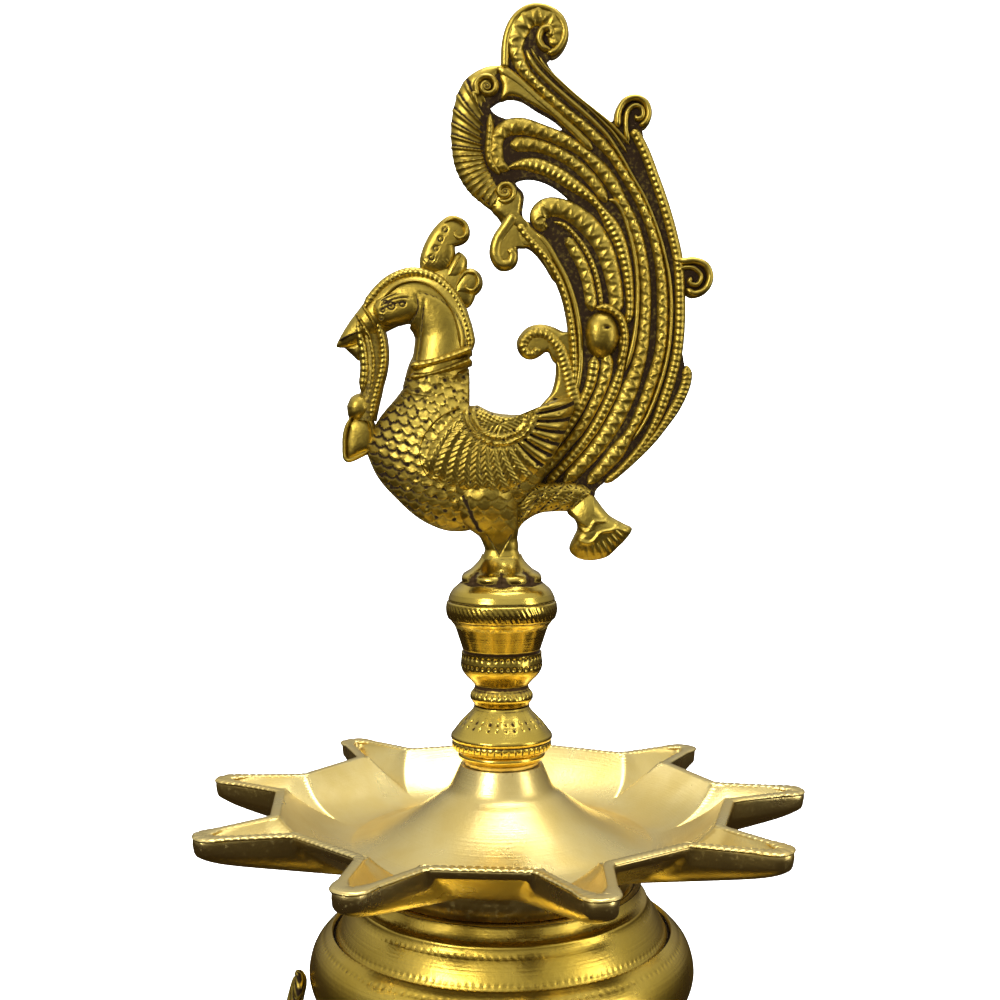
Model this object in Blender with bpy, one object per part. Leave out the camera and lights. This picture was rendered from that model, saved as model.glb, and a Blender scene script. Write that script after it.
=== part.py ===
"""Brass standing oil lamp (samai): a stack of turned castings screwed together, with a nine-spout oil dish
and a cast peacock on top. Metres, +Z up, origin at the middle of the foot's underside; the bird faces -X."""

import math

import bmesh
import bpy
import numpy as np
from mathutils import Matrix

MM = 0.001

# Fits
GAP = 0.3 * MM                      # kept between pieces that touch
STUD_CLEARANCE = 0.3 * MM           # round every threaded rod
STUD_RADIUS = 6 * MM
FINIAL_STUD_RADIUS = 4 * MM
STUD_ENGAGEMENT = 17 * MM           # how far a rod reaches into the piece below its joint
WASHER_THICKNESS = 1.2 * MM
CASTING_WALL = 4 * MM

# Foot
FOOT_RADIUS = 105 * MM
FOOT_HEIGHT = 40 * MM
DOME_RADIUS = 72 * MM
DOME_HEIGHT = 48 * MM
DOME_NECK_RADIUS = 24 * MM
SPIGOT_RADIUS = 13 * MM
FOOT_NUT_RADIUS = 24 * MM
FOOT_NUT_HEIGHT = 8 * MM

# Column
COLLAR_RADIUS = 30 * MM
COLLAR_HEIGHT = 18 * MM
LOWER_BALUSTER_RADIUS = 31 * MM
LOWER_BALUSTER_HEIGHT = 84 * MM
KNOP_RADIUS = 32 * MM
KNOP_HEIGHT = 34 * MM
UPPER_BALUSTER_RADIUS = 27 * MM
UPPER_BALUSTER_HEIGHT = 76 * MM
NECK_RADIUS = 15 * MM               # where the column's sections meet
COLUMN_NUT_RADIUS = 11 * MM
COLUMN_NUT_HEIGHT = 8 * MM

# Drum with its three leaf brackets
DRUM_RADIUS = 34 * MM
DRUM_HEIGHT = 44 * MM
DRUM_FLANGE_RADIUS = 70 * MM
DRUM_FLANGE = 5 * MM
DRUM_CROWN = 12 * MM                # solid top of the drum, tapped for the dish's rod
BRACKET_COUNT = 3
BRACKET_FIRST_ANGLE = math.radians(190)
BRACKET_THICKNESS = 12 * MM
BRACKET_LIFT = 16 * MM              # how far the leaf's tip stands above the drum
SCREW_RADIUS = 2.5 * MM
SCREW_HEAD_RADIUS = 4.5 * MM
SCREW_HEAD_HEIGHT = 2.5 * MM
SCREW_DEPTH = 12 * MM

# Capital
CAPITAL_RIM_RADIUS = 80 * MM
CAPITAL_HEIGHT = 47.5 * MM
CAPITAL_TOP_RADIUS = 61 * MM
CAPITAL_BOSS_RADIUS = 16 * MM

# Dish
SPOUT_COUNT = 9
SPOUT_TURN = math.radians(-4.5)     # the front pair of spouts is turned a little to the left
SPOUT_TIP_RADIUS = 130 * MM
SPOUT_END_HALF_WIDTH = 6.3 * MM
SPOUT_END_CURVE = 0.04 / MM         # how fast the end falls back beside the spout's middle
RIM_FLAT_DISTANCE = 95 * MM         # from the axis to the straight rim between two spouts
RIM_EDGE = 4 * MM                   # width of the flat edge that runs round the rim
RIM_THICKNESS = 3.4 * MM
DISH_FLOOR_RADIUS = 63 * MM
DISH_DEPTH = 17.6 * MM
DISH_FLOOR_WALL = 3.4 * MM
DISH_FOOT_RADIUS = 54 * MM
DISH_FOOT_WIDTH = 9 * MM
DISH_FOOT_DROP = 33.5 * MM          # from the rim down to the underside of the foot ring
CONE_TOP_RADIUS = 17.2 * MM
CONE_RISE = 14.3 * MM               # the cone's top above the rim

# Finial
FINIAL_FOOT_HEIGHT = 22.6 * MM
FINIAL_FOOT_RADIUS = 21.2 * MM
FINIAL_KNOB_HEIGHT = 62.8 * MM
FINIAL_KNOB_RADIUS = 23.4 * MM
FINIAL_NECK_RADIUS = 11.3 * MM
SHANK_RADIUS = 8 * MM
SHANK_HOLE_DEPTH = 12 * MM
PEACOCK_HEIGHT = 231 * MM
TAIL_THICKNESS = 9 * MM

ROUND = 30                          # facets round the large turned pieces
ROUND_SMALL = 20


def clear_scene():
    """Empties the file without closing it."""
    for item in list(bpy.data.objects):
        bpy.data.objects.remove(item, do_unlink=True)


def brass(name, colour, roughness):
    """One piece's own brass."""
    material = bpy.data.materials.new(name)
    material.use_nodes = True
    shader = material.node_tree.nodes["Principled BSDF"]
    shader.inputs["Base Color"].default_value = (*colour, 1.0)
    shader.inputs["Metallic"].default_value = 1.0
    shader.inputs["Roughness"].default_value = roughness
    return material


def add_object(name, mesh, parent=None, colour=(0.72, 0.52, 0.16), roughness=0.3):
    """Links a mesh as one named piece, shaded smooth with sharp corners kept."""
    mesh.materials.append(brass(name + "_brass", colour, roughness))
    piece = bpy.data.objects.new(name, mesh)
    bpy.context.scene.collection.objects.link(piece)
    mesh.shade_smooth()
    mesh.set_sharp_from_angle(angle=math.radians(35))
    piece.parent = parent
    return piece


def add_joint_empty(name, parent=None):
    """An empty on the lamp's axis that one group of pieces is parented to."""
    empty = bpy.data.objects.new(name, None)
    bpy.context.scene.collection.objects.link(empty)
    empty.parent = parent
    return empty


def mesh_from(name, points, faces):
    """A mesh from points and faces, its doubles merged and its faces turned outwards."""
    mesh = bpy.data.meshes.new(name)
    mesh.from_pydata([tuple(p) for p in points], [], [tuple(f) for f in faces])
    shape = bmesh.new()
    shape.from_mesh(mesh)
    bmesh.ops.remove_doubles(shape, verts=shape.verts, dist=0.00001)
    bmesh.ops.recalc_face_normals(shape, faces=shape.faces)
    shape.to_mesh(mesh)
    shape.free()
    return mesh


def smooth_curve(points, steps):
    """Points along a smooth curve through the given points, steps to each stretch (Catmull-Rom)."""
    p = np.array(points, float)
    padded = np.vstack([2 * p[0] - p[1], p, 2 * p[-1] - p[-2]])
    t = np.linspace(0, 1, steps, endpoint=False)[:, None]
    out = []
    for a, b, c, d in zip(padded[:-3], padded[1:-2], padded[2:-1], padded[3:]):
        bend = 2 * a - 5 * b + 4 * c - d
        swing = 3 * b - 3 * c + d - a
        out.append(0.5 * (2 * b + (c - a) * t + bend * t**2 + swing * t**3))
    return [tuple(q) for q in np.vstack(out + [p[-1:]])]


def arc(centre_r, centre_z, radius, start, end, steps):
    """Points of a round moulding, from one angle to another in degrees, 0 outwards and 90 up."""
    angles = np.radians(np.linspace(start, end, steps))
    return [(centre_r + radius * math.cos(a), centre_z + radius * math.sin(a)) for a in angles]


def turned_mesh(name, outer, inner, facets, base):
    """A turned piece: the outside from bottom to top, the inside from top to bottom, spun round the axis."""
    section = np.array(list(outer) + list(inner), float)
    angles = np.arange(facets) * 2 * math.pi / facets
    ring = len(section)
    x = section[None, :, 0] * np.cos(angles)[:, None]
    y = section[None, :, 0] * np.sin(angles)[:, None]
    z = np.broadcast_to(section[None, :, 1] + base, x.shape)
    points = np.stack([x, y, z], axis=2).reshape(-1, 3)
    faces = []
    for i in range(facets):
        for j in range(ring):
            a, b = i * ring + j, i * ring + (j + 1) % ring
            c, d = (a + ring) % len(points), (b + ring) % len(points)
            faces.append((a, c, d, b))
    return mesh_from(name, points, faces)


def bore(radius, height, clearance=STUD_CLEARANCE):
    """The inside of a piece with a plain bore for a rod."""
    return [(radius + clearance, height), (radius + clearance, 0)]


def hollow(radius, height, cavity):
    """The inside of a hollow casting: a bore at both ends that widens to a cavity between them."""
    r = radius + STUD_CLEARANCE
    return [(r, height), (r, height - CASTING_WALL), *reversed(cavity), (r, CASTING_WALL), (r, 0)]


def rod(name, radius, bottom, top, parent):
    """A plain cylinder for a threaded rod, with chamfered ends."""
    chamfer = radius * 0.2
    section = [(0, bottom), (radius - chamfer, bottom), (radius, bottom + chamfer)]
    section += [(radius, top - chamfer), (radius - chamfer, top), (0, top)]
    mesh = turned_mesh(name, section, [], ROUND_SMALL, 0)
    return add_object(name, mesh, parent, (0.62, 0.45, 0.16), 0.35)


def hexagon_nut(name, radius, hole, bottom, height, parent):
    """A six-sided nut with a round hole."""
    sides = 24
    points = []
    for r_is_outer, z in ((True, bottom), (True, bottom + height), (False, bottom + height), (False, bottom)):
        for k in range(sides):
            angle = 2 * math.pi * k / sides
            within = (angle % (math.pi / 3)) - math.pi / 6
            reach = radius * math.cos(math.pi / 6) / math.cos(within) if r_is_outer else hole
            points.append((reach * math.cos(angle), reach * math.sin(angle), z))
    faces = []
    for ring in range(4):
        for k in range(sides):
            a, b = ring * sides + k, ring * sides + (k + 1) % sides
            c, d = (a + sides) % (4 * sides), (b + sides) % (4 * sides)
            faces.append((a, b, d, c))
    return add_object(name, mesh_from(name, points, faces), parent, (0.6, 0.44, 0.16), 0.38)


def washer(name, radius, hole, bottom, parent):
    """A flat ring."""
    section = [(radius, 0), (radius, WASHER_THICKNESS)]
    inside = [(hole, WASHER_THICKNESS), (hole, 0)]
    mesh = turned_mesh(name, section, inside, ROUND_SMALL, bottom)
    return add_object(name, mesh, parent, (0.66, 0.5, 0.2), 0.3)


# ---------------------------------------------------------------- foot

def make_foot(parent):
    """The stepped foot, the dome on it, and the nut and washer that clamp them. Returns the dome's top."""
    r, h, w = FOOT_RADIUS, FOOT_HEIGHT, CASTING_WALL
    outer = [(r - 2 * MM, 0), (r, 2 * MM), (r, 7 * MM), (r - 3 * MM, 9 * MM)]
    shoulder = DOME_RADIUS + 6 * MM
    outer += smooth_curve([(r - 4 * MM, 11 * MM), (r - 12 * MM, 18 * MM), (shoulder + 4 * MM, 24 * MM),
                           (shoulder, h - 8 * MM)], 2)
    outer += [(shoulder, h - 3 * MM), (shoulder - 3 * MM, h)]
    hole = SPIGOT_RADIUS + GAP
    inner = [(hole, h), (hole, h - w), (shoulder - w, h - w), (shoulder - w, h - 10 * MM),
             (r - 12 * MM - w, 14 * MM), (r - 4 * MM - w, 6 * MM), (r - 8 * MM, 0)]
    add_object("foot_base", turned_mesh("foot_base", outer, inner, ROUND, 0), parent)

    base = h + GAP
    top = DOME_HEIGHT
    neck = DOME_NECK_RADIUS
    outer = [(SPIGOT_RADIUS, -(w + 14 * MM)), (SPIGOT_RADIUS, 0), (DOME_RADIUS - 1 * MM, 0)]
    outer += arc(DOME_RADIUS - 3 * MM, 3 * MM, 3 * MM, -60, 60, 3)
    outer += smooth_curve([(DOME_RADIUS - 5 * MM, 7 * MM), (DOME_RADIUS * 0.83, 18 * MM),
                           (neck + 14 * MM, top * 0.58), (neck + 2 * MM, top * 0.78), (neck, top - 6 * MM)], 2)
    outer += [(neck + 3 * MM, top - 5 * MM), (neck + 3 * MM, top - 1 * MM), (neck + 2 * MM, top)]
    bore_radius = STUD_RADIUS + STUD_CLEARANCE
    inner = [(bore_radius, top), (bore_radius, -(w + 14 * MM))]
    add_object("foot_dome", turned_mesh("foot_dome", outer, inner, ROUND, base), parent)

    under = h - w - GAP
    washer("foot_lock_washer", FOOT_NUT_RADIUS + 2 * MM, SPIGOT_RADIUS + GAP, under - WASHER_THICKNESS, parent)
    nut_bottom = under - WASHER_THICKNESS - GAP - FOOT_NUT_HEIGHT
    hexagon_nut("foot_nut", FOOT_NUT_RADIUS, SPIGOT_RADIUS + GAP, nut_bottom, FOOT_NUT_HEIGHT, parent)
    return base + top


# ---------------------------------------------------------------- column

def make_column(parent, base):
    """The turned sections between the foot and the drum, each on the rod. Returns the drum's base."""
    rod_bottom = base - WASHER_THICKNESS - 2 * GAP - STUD_ENGAGEMENT
    n = NECK_RADIUS

    r, h = COLLAR_RADIUS, COLLAR_HEIGHT
    outer = [(n + 6 * MM, 0), (n + 7 * MM, 3 * MM)]
    outer += arc(r - 5 * MM, h / 2, 5 * MM, -70, 70, 5)
    outer += [(n + 4 * MM, h - 3 * MM), (n + 3 * MM, h)]
    add_object("lower_collar", turned_mesh("lower_collar", outer, bore(STUD_RADIUS, h), ROUND, base), parent)
    base += h + GAP

    r, h = LOWER_BALUSTER_RADIUS, LOWER_BALUSTER_HEIGHT
    outer = [(n + 2 * MM, 0), (n + 2 * MM, 3 * MM)]
    outer += smooth_curve([(n, 6 * MM), (n + 7 * MM, h * 0.18), (r, h * 0.42), (r - 7 * MM, h * 0.64),
                           (n, h * 0.84), (n, h - 6 * MM)], 2)
    outer += [(n + 3 * MM, h - 4 * MM), (n + 3 * MM, h)]
    cavity = [(n - 3 * MM, h * 0.14), (r - 7 * MM, h * 0.42), (n - 3 * MM, h * 0.78)]
    inner = hollow(STUD_RADIUS, h, cavity)
    add_object("lower_baluster", turned_mesh("lower_baluster", outer, inner, ROUND, base), parent)
    base += h + GAP

    r, h = KNOP_RADIUS, KNOP_HEIGHT
    outer = [(n + 3 * MM, 0), (n + 3 * MM, 3 * MM), (n + 1 * MM, 5 * MM)]
    outer += arc(r - 11 * MM, h / 2, 11 * MM, -75, 75, 7)
    outer += [(n + 1 * MM, h - 5 * MM), (n + 3 * MM, h - 3 * MM), (n + 3 * MM, h)]
    add_object("knop", turned_mesh("knop", outer, bore(STUD_RADIUS, h), ROUND, base), parent)
    base += h + GAP

    r, h = UPPER_BALUSTER_RADIUS, UPPER_BALUSTER_HEIGHT
    outer = [(n + 3 * MM, 0), (n + 3 * MM, 4 * MM)]
    outer += smooth_curve([(n, 7 * MM), (n, h * 0.2), (n + 5 * MM, h * 0.45), (r, h * 0.68),
                           (r - 4 * MM, h * 0.84), (n + 2 * MM, h - 6 * MM)], 2)
    outer += [(n + 6 * MM, h - 4 * MM), (n + 6 * MM, h)]
    cavity = [(n - 4 * MM, h * 0.3), (r - 7 * MM, h * 0.68), (n - 2 * MM, h * 0.88)]
    inner = hollow(STUD_RADIUS, h, cavity)
    add_object("upper_baluster", turned_mesh("upper_baluster", outer, inner, ROUND, base), parent)
    base += h + GAP

    nut_bottom = base + CASTING_WALL + GAP
    hole = STUD_RADIUS + STUD_CLEARANCE
    hexagon_nut("column_nut", COLUMN_NUT_RADIUS, hole, nut_bottom, COLUMN_NUT_HEIGHT, parent)
    rod("column_stud", STUD_RADIUS, rod_bottom, nut_bottom + COLUMN_NUT_HEIGHT + 1 * MM, parent)
    return base


def radial_pin(name, radius, start, end, angle, height, facets=16):
    """A closed cylinder lying along a radius of the lamp, from start to end."""
    shape = bmesh.new()
    bmesh.ops.create_cone(shape, cap_ends=True, segments=facets, radius1=radius, radius2=radius,
                          depth=end - start)
    mesh = bpy.data.meshes.new(name)
    shape.to_mesh(mesh)
    shape.free()
    points = np.array([v.co for v in mesh.vertices], float)
    along = points[:, 2] + (start + end) / 2
    side = points[:, 0]
    up = points[:, 1] + height
    placed = np.stack([along * math.cos(angle) - side * math.sin(angle),
                       along * math.sin(angle) + side * math.cos(angle), up], axis=1)
    mesh.vertices.foreach_set("co", placed.ravel())
    shape = bmesh.new()
    shape.from_mesh(mesh)
    bmesh.ops.recalc_face_normals(shape, faces=shape.faces)
    shape.to_mesh(mesh)
    shape.free()
    return mesh


def boolean(target, tool, operation):
    """Adds or cuts one object with another and keeps the result in the target's mesh."""
    modifier = target.modifiers.new("cut", "BOOLEAN")
    modifier.object = tool
    modifier.operation = operation
    modifier.solver = "EXACT"
    bpy.context.view_layer.update()
    evaluated = target.evaluated_get(bpy.context.evaluated_depsgraph_get())
    result = bpy.data.meshes.new_from_object(evaluated)
    target.modifiers.remove(modifier)
    target.data = result
    bpy.data.objects.remove(tool, do_unlink=True)


def temporary(name, mesh):
    """An object used once by a Boolean and then removed."""
    helper = bpy.data.objects.new(name, mesh)
    bpy.context.scene.collection.objects.link(helper)
    return helper


def plate_mesh(name, outline, thickness, holes=(), bevel=0.0):
    """A flat plate in the XZ plane, with round-edged outline and holes, centred on Y = 0."""
    curve = bpy.data.curves.new(name, "CURVE")
    curve.dimensions = "2D"
    curve.fill_mode = "BOTH"
    curve.extrude = thickness / 2 - bevel
    curve.bevel_depth = bevel
    curve.bevel_resolution = 0
    curve.offset = -bevel
    for loop in (outline, *holes):
        spline = curve.splines.new("POLY")
        spline.points.add(len(loop) - 1)
        spline.use_cyclic_u = True
        for point, (x, z) in zip(spline.points, loop):
            point.co = (x, z, 0, 1)
    source = temporary(name + "_curve", curve)
    bpy.context.view_layer.update()
    mesh = bpy.data.meshes.new_from_object(source.evaluated_get(bpy.context.evaluated_depsgraph_get()))
    bpy.data.objects.remove(source, do_unlink=True)
    shape = bmesh.new()
    shape.from_mesh(mesh)
    bmesh.ops.remove_doubles(shape, verts=shape.verts, dist=0.00001)
    for vertex in shape.verts:
        vertex.co = (vertex.co.x, -vertex.co.z, vertex.co.y)
    bmesh.ops.recalc_face_normals(shape, faces=shape.faces)
    shape.to_mesh(mesh)
    shape.free()
    return mesh


def make_drum(parent, base):
    """The flanged drum, its leaf brackets and the screws that hold them from inside. Returns the drum's top."""
    r, h, w = DRUM_RADIUS, DRUM_HEIGHT, CASTING_WALL
    under = h - DRUM_FLANGE
    outer = [(r - 4 * MM, 0), (r, 2 * MM), (r, under - 3 * MM), (r + 5 * MM, under)]
    outer += [(DRUM_FLANGE_RADIUS - 1 * MM, under), (DRUM_FLANGE_RADIUS, under + 1 * MM)]
    outer += [(DRUM_FLANGE_RADIUS, h - 1 * MM), (DRUM_FLANGE_RADIUS - 1 * MM, h)]
    hole = STUD_RADIUS + STUD_CLEARANCE
    wall = r - 2 * w
    inner = [(hole, h), (hole, h - DRUM_CROWN), (wall, h - DRUM_CROWN), (wall, w), (hole, w), (hole, 0)]
    drum = add_object("bracket_drum", turned_mesh("bracket_drum", outer, inner, ROUND, base), parent)

    start = r + GAP
    rim = CAPITAL_RIM_RADIUS
    tip = h + BRACKET_LIFT
    leaf = smooth_curve([(start, 5 * MM), (start + 16 * MM, 2 * MM), (rim - 8 * MM, 4 * MM),
                         (rim + 5 * MM, 13 * MM), (rim + 11 * MM, 27 * MM),
                         (rim + 9.5 * MM, h - 6 * MM), (rim + 6.5 * MM, h + 2 * MM),
                         (rim + 4.5 * MM, tip - 5 * MM), (rim + 3 * MM, tip)], 2)
    leaf += [(rim + 1.6 * MM, tip - 1.5 * MM), (rim + 1.2 * MM, h + 3 * MM), (rim - 2 * MM, under - 3 * MM)]
    leaf += [(start + 22 * MM, under - 6 * MM), (start, under - 6 * MM)]
    screw_height = base + (under - 3 * MM) / 2
    for k in range(BRACKET_COUNT):
        angle = BRACKET_FIRST_ANGLE + 2 * math.pi * k / BRACKET_COUNT
        number = str(k + 1)
        mesh = plate_mesh("bracket_" + number, leaf, BRACKET_THICKNESS, (), 2 * MM)
        points = np.array([v.co for v in mesh.vertices], float)
        placed = np.stack([points[:, 0] * math.cos(angle) - points[:, 1] * math.sin(angle),
                           points[:, 0] * math.sin(angle) + points[:, 1] * math.cos(angle),
                           points[:, 2] + base], axis=1)
        mesh.vertices.foreach_set("co", placed.ravel())
        bracket = add_object("bracket_" + number, mesh, parent, (0.7, 0.52, 0.18), 0.4)
        hollow_radius = SCREW_RADIUS + GAP
        reach = r + SCREW_DEPTH
        socket = radial_pin("socket", hollow_radius, wall - 3 * MM, reach + GAP, angle, screw_height, 12)
        boolean(bracket, temporary("socket", socket), "DIFFERENCE")
        passage = radial_pin("passage", hollow_radius, wall - 3 * MM, reach + GAP, angle, screw_height, 12)
        boolean(drum, temporary("passage", passage), "DIFFERENCE")
        shank = radial_pin("shank", SCREW_RADIUS, wall - 2 * MM, reach - 1 * MM, angle, screw_height, 12)
        screw = add_object("bracket_screw_" + number, shank, parent, (0.6, 0.44, 0.16), 0.38)
        head = radial_pin("head", SCREW_HEAD_RADIUS, wall - 0.8 * MM - SCREW_HEAD_HEIGHT, wall - 0.8 * MM, angle,
                          screw_height, 12)
        boolean(screw, temporary("head", head), "UNION")
    return base + h


# ---------------------------------------------------------------- dish and capital

def make_capital(parent, base):
    """The wide bell under the dish, hollow, with a tapped boss down its middle. Returns its top."""
    rim, top_r, h, w = CAPITAL_RIM_RADIUS, CAPITAL_TOP_RADIUS, CAPITAL_HEIGHT, CASTING_WALL
    outer = [(rim - 10 * MM, 0), (rim - 5.6 * MM, 0)]
    outer += smooth_curve([(rim - 2.4 * MM, 4.5 * MM), (rim, 11 * MM), (rim - 1.2 * MM, 19 * MM),
                           (rim - 5 * MM, 25 * MM), (rim - 8.5 * MM, 28 * MM)], 1)
    outer += [(rim - 9.8 * MM, 26.5 * MM), (rim - 11.2 * MM, 28.5 * MM)]
    outer += [(rim - 14 * MM, 33 * MM), (top_r + 1.2 * MM, 37.5 * MM)]
    outer += [(top_r, h - 5 * MM), (top_r - 2 * MM, h - 4 * MM), (DISH_FOOT_RADIUS + 1 * MM, h - 0.5 * MM)]
    outer += [(DISH_FOOT_RADIUS, h)]
    boss = CAPITAL_BOSS_RADIUS
    hole = STUD_RADIUS + STUD_CLEARANCE
    inner = [(hole, h), (hole, 0), (boss, 0), (boss, h - 5 * MM - w), (top_r - 8 * MM, h - 5 * MM - w),
             (top_r - 4 * MM, h - 12 * MM), (rim - 18 * MM, 24 * MM), (rim - 12 * MM, 18 * MM)]
    add_object("capital", turned_mesh("capital", outer, inner, ROUND, base), parent)
    return base + h


def spout_outline(angle):
    """How far the rim reaches at each angle: straight between spouts, and out round each blunt spout."""
    pitch = 2 * math.pi / SPOUT_COUNT
    from_spout = (angle + pitch / 2) % pitch - pitch / 2
    from_flat = pitch / 2 - np.abs(from_spout)
    flat = RIM_FLAT_DISTANCE / np.cos(from_flat)
    root_angle = math.radians(8.5) * 9 / SPOUT_COUNT
    root = RIM_FLAT_DISTANCE / math.cos(pitch / 2 - root_angle)
    root_half = root * math.sin(root_angle)
    root_out = root * math.cos(root_angle)
    side_end = SPOUT_TIP_RADIUS - 5 * MM
    taper = (root_half - SPOUT_END_HALF_WIDTH) / (side_end - root_out)
    side = (SPOUT_END_HALF_WIDTH + taper * side_end) / (np.abs(np.sin(from_spout)) + taper * np.cos(from_spout))
    end = SPOUT_TIP_RADIUS - SPOUT_END_CURVE * (SPOUT_TIP_RADIUS * np.sin(from_spout)) ** 2
    return np.maximum(flat, np.minimum(side, end)), flat, from_spout, taper, side_end


def make_dish(parent, base):
    """The oil dish: a round floor with walls up to nine flats and nine open V spouts. Returns its cone's top."""
    rim_z = base + DISH_FOOT_DROP
    pitch = 2 * math.pi / SPOUT_COUNT
    part = np.radians([-8.5, -5.6, -2.9, 0, 2.9, 5.6, 8.5, 14.25, 20, 25.75]) * 9 / SPOUT_COUNT
    angles = np.concatenate([part + k * pitch for k in range(SPOUT_COUNT)])
    reach, flat, off_axis, taper, side_end = spout_outline(angles)

    def top_height(r):
        """Height of the inner surface below the rim: a dished wall, cut down by a V channel in each spout."""
        rise = np.clip((r - DISH_FLOOR_RADIUS) / (flat - RIM_EDGE - DISH_FLOOR_RADIUS), 0, 1)
        bowl = -DISH_DEPTH * (1 - rise**1.6)
        out = r * np.cos(off_axis)
        across = np.abs(r * np.sin(off_axis))
        half = SPOUT_END_HALF_WIDTH + taper * np.maximum(side_end - out, 0) - RIM_EDGE
        half = np.clip(half, 1.5 * MM, 10.5 * MM)
        keel = -DISH_DEPTH + (out - DISH_FLOOR_RADIUS) * 0.19
        channel = keel * (1 - across / half)
        in_spout = out < SPOUT_TIP_RADIUS - 10 * MM
        return np.where(in_spout, np.minimum(bowl, np.minimum(channel, 0)), 0)

    def under_height(r):
        """Height of the outer surface: a bowl under the floor and a rounded keel under each spout."""
        rise = np.clip((r - DISH_FLOOR_RADIUS) / (flat - DISH_FLOOR_RADIUS), 0, 1)
        bowl = -(DISH_DEPTH + DISH_FLOOR_WALL) + (DISH_DEPTH + DISH_FLOOR_WALL - RIM_THICKNESS) * rise**1.5
        out = r * np.cos(off_axis)
        across = np.abs(r * np.sin(off_axis))
        width = SPOUT_END_HALF_WIDTH + taper * np.maximum(side_end - out, 0) + 1 * MM
        keel = -RIM_THICKNESS - 0.8 * MM - (SPOUT_TIP_RADIUS - out) * 0.4
        spout = -RIM_THICKNESS + (keel + RIM_THICKNESS) * np.clip(1 - (across / width) ** 1.6, 0, 1)
        deepest = -(DISH_DEPTH + DISH_FLOOR_WALL + 3 * MM)
        return np.maximum(np.minimum(bowl, spout), deepest)

    rings = []
    n = len(angles)

    def ring(radius, height):
        r = np.broadcast_to(np.asarray(radius, float), (n,))
        z = np.broadcast_to(np.asarray(height, float), (n,)) + rim_z
        a = angles + SPOUT_TURN - math.pi / 2 + pitch / 2
        rings.append(np.stack([r * np.cos(a), r * np.sin(a), z], axis=1))

    hole = FINIAL_STUD_RADIUS + STUD_CLEARANCE
    ring(hole, CONE_RISE)
    cone = smooth_curve([(CONE_TOP_RADIUS, CONE_RISE), (CONE_TOP_RADIUS + 5.5 * MM, 3.8 * MM),
                         (CONE_TOP_RADIUS + 14 * MM, -3 * MM), (DISH_FLOOR_RADIUS - 13 * MM, -13 * MM),
                         (DISH_FLOOR_RADIUS, -DISH_DEPTH)], 1)
    for radius, height in cone:
        ring(radius, height)
    for share in (0.3, 0.6, 0.84):
        r = DISH_FLOOR_RADIUS + (reach - RIM_EDGE - DISH_FLOOR_RADIUS) * share
        ring(r, top_height(r))
    ring(reach - RIM_EDGE, 0)
    ring(reach, -0.6 * MM)
    ring(reach - 0.4 * MM, -RIM_THICKNESS)
    for share in (0.8, 0.52, 0.24):
        r = DISH_FOOT_RADIUS + (reach - DISH_FOOT_RADIUS) * share
        ring(r, under_height(r))
    ring(DISH_FOOT_RADIUS, -(DISH_DEPTH + DISH_FLOOR_WALL + 4 * MM))
    ring(DISH_FOOT_RADIUS, -DISH_FOOT_DROP)
    ring(DISH_FOOT_RADIUS - DISH_FOOT_WIDTH, -DISH_FOOT_DROP)
    recess = -(DISH_DEPTH + DISH_FLOOR_WALL)
    ring(DISH_FOOT_RADIUS - DISH_FOOT_WIDTH, recess)
    ring(CAPITAL_BOSS_RADIUS, recess)
    ring(CAPITAL_BOSS_RADIUS, -DISH_FOOT_DROP)
    lower_hole = STUD_RADIUS + STUD_CLEARANCE
    ring(lower_hole, -DISH_FOOT_DROP)
    ring(lower_hole, -DISH_FOOT_DROP + 20 * MM)
    ring(hole, -DISH_FOOT_DROP + 20 * MM)

    points = np.concatenate(rings)
    faces = []
    count = len(rings)
    for i in range(count):
        for j in range(n):
            a, b = i * n + j, i * n + (j + 1) % n
            c, d = ((i + 1) % count) * n + j, ((i + 1) % count) * n + (j + 1) % n
            faces.append((a, b, d, c))
    add_object("dish", mesh_from("dish", points, faces), parent, (0.76, 0.6, 0.3), 0.4)
    return rim_z + CONE_RISE


# ---------------------------------------------------------------- finial

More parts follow.
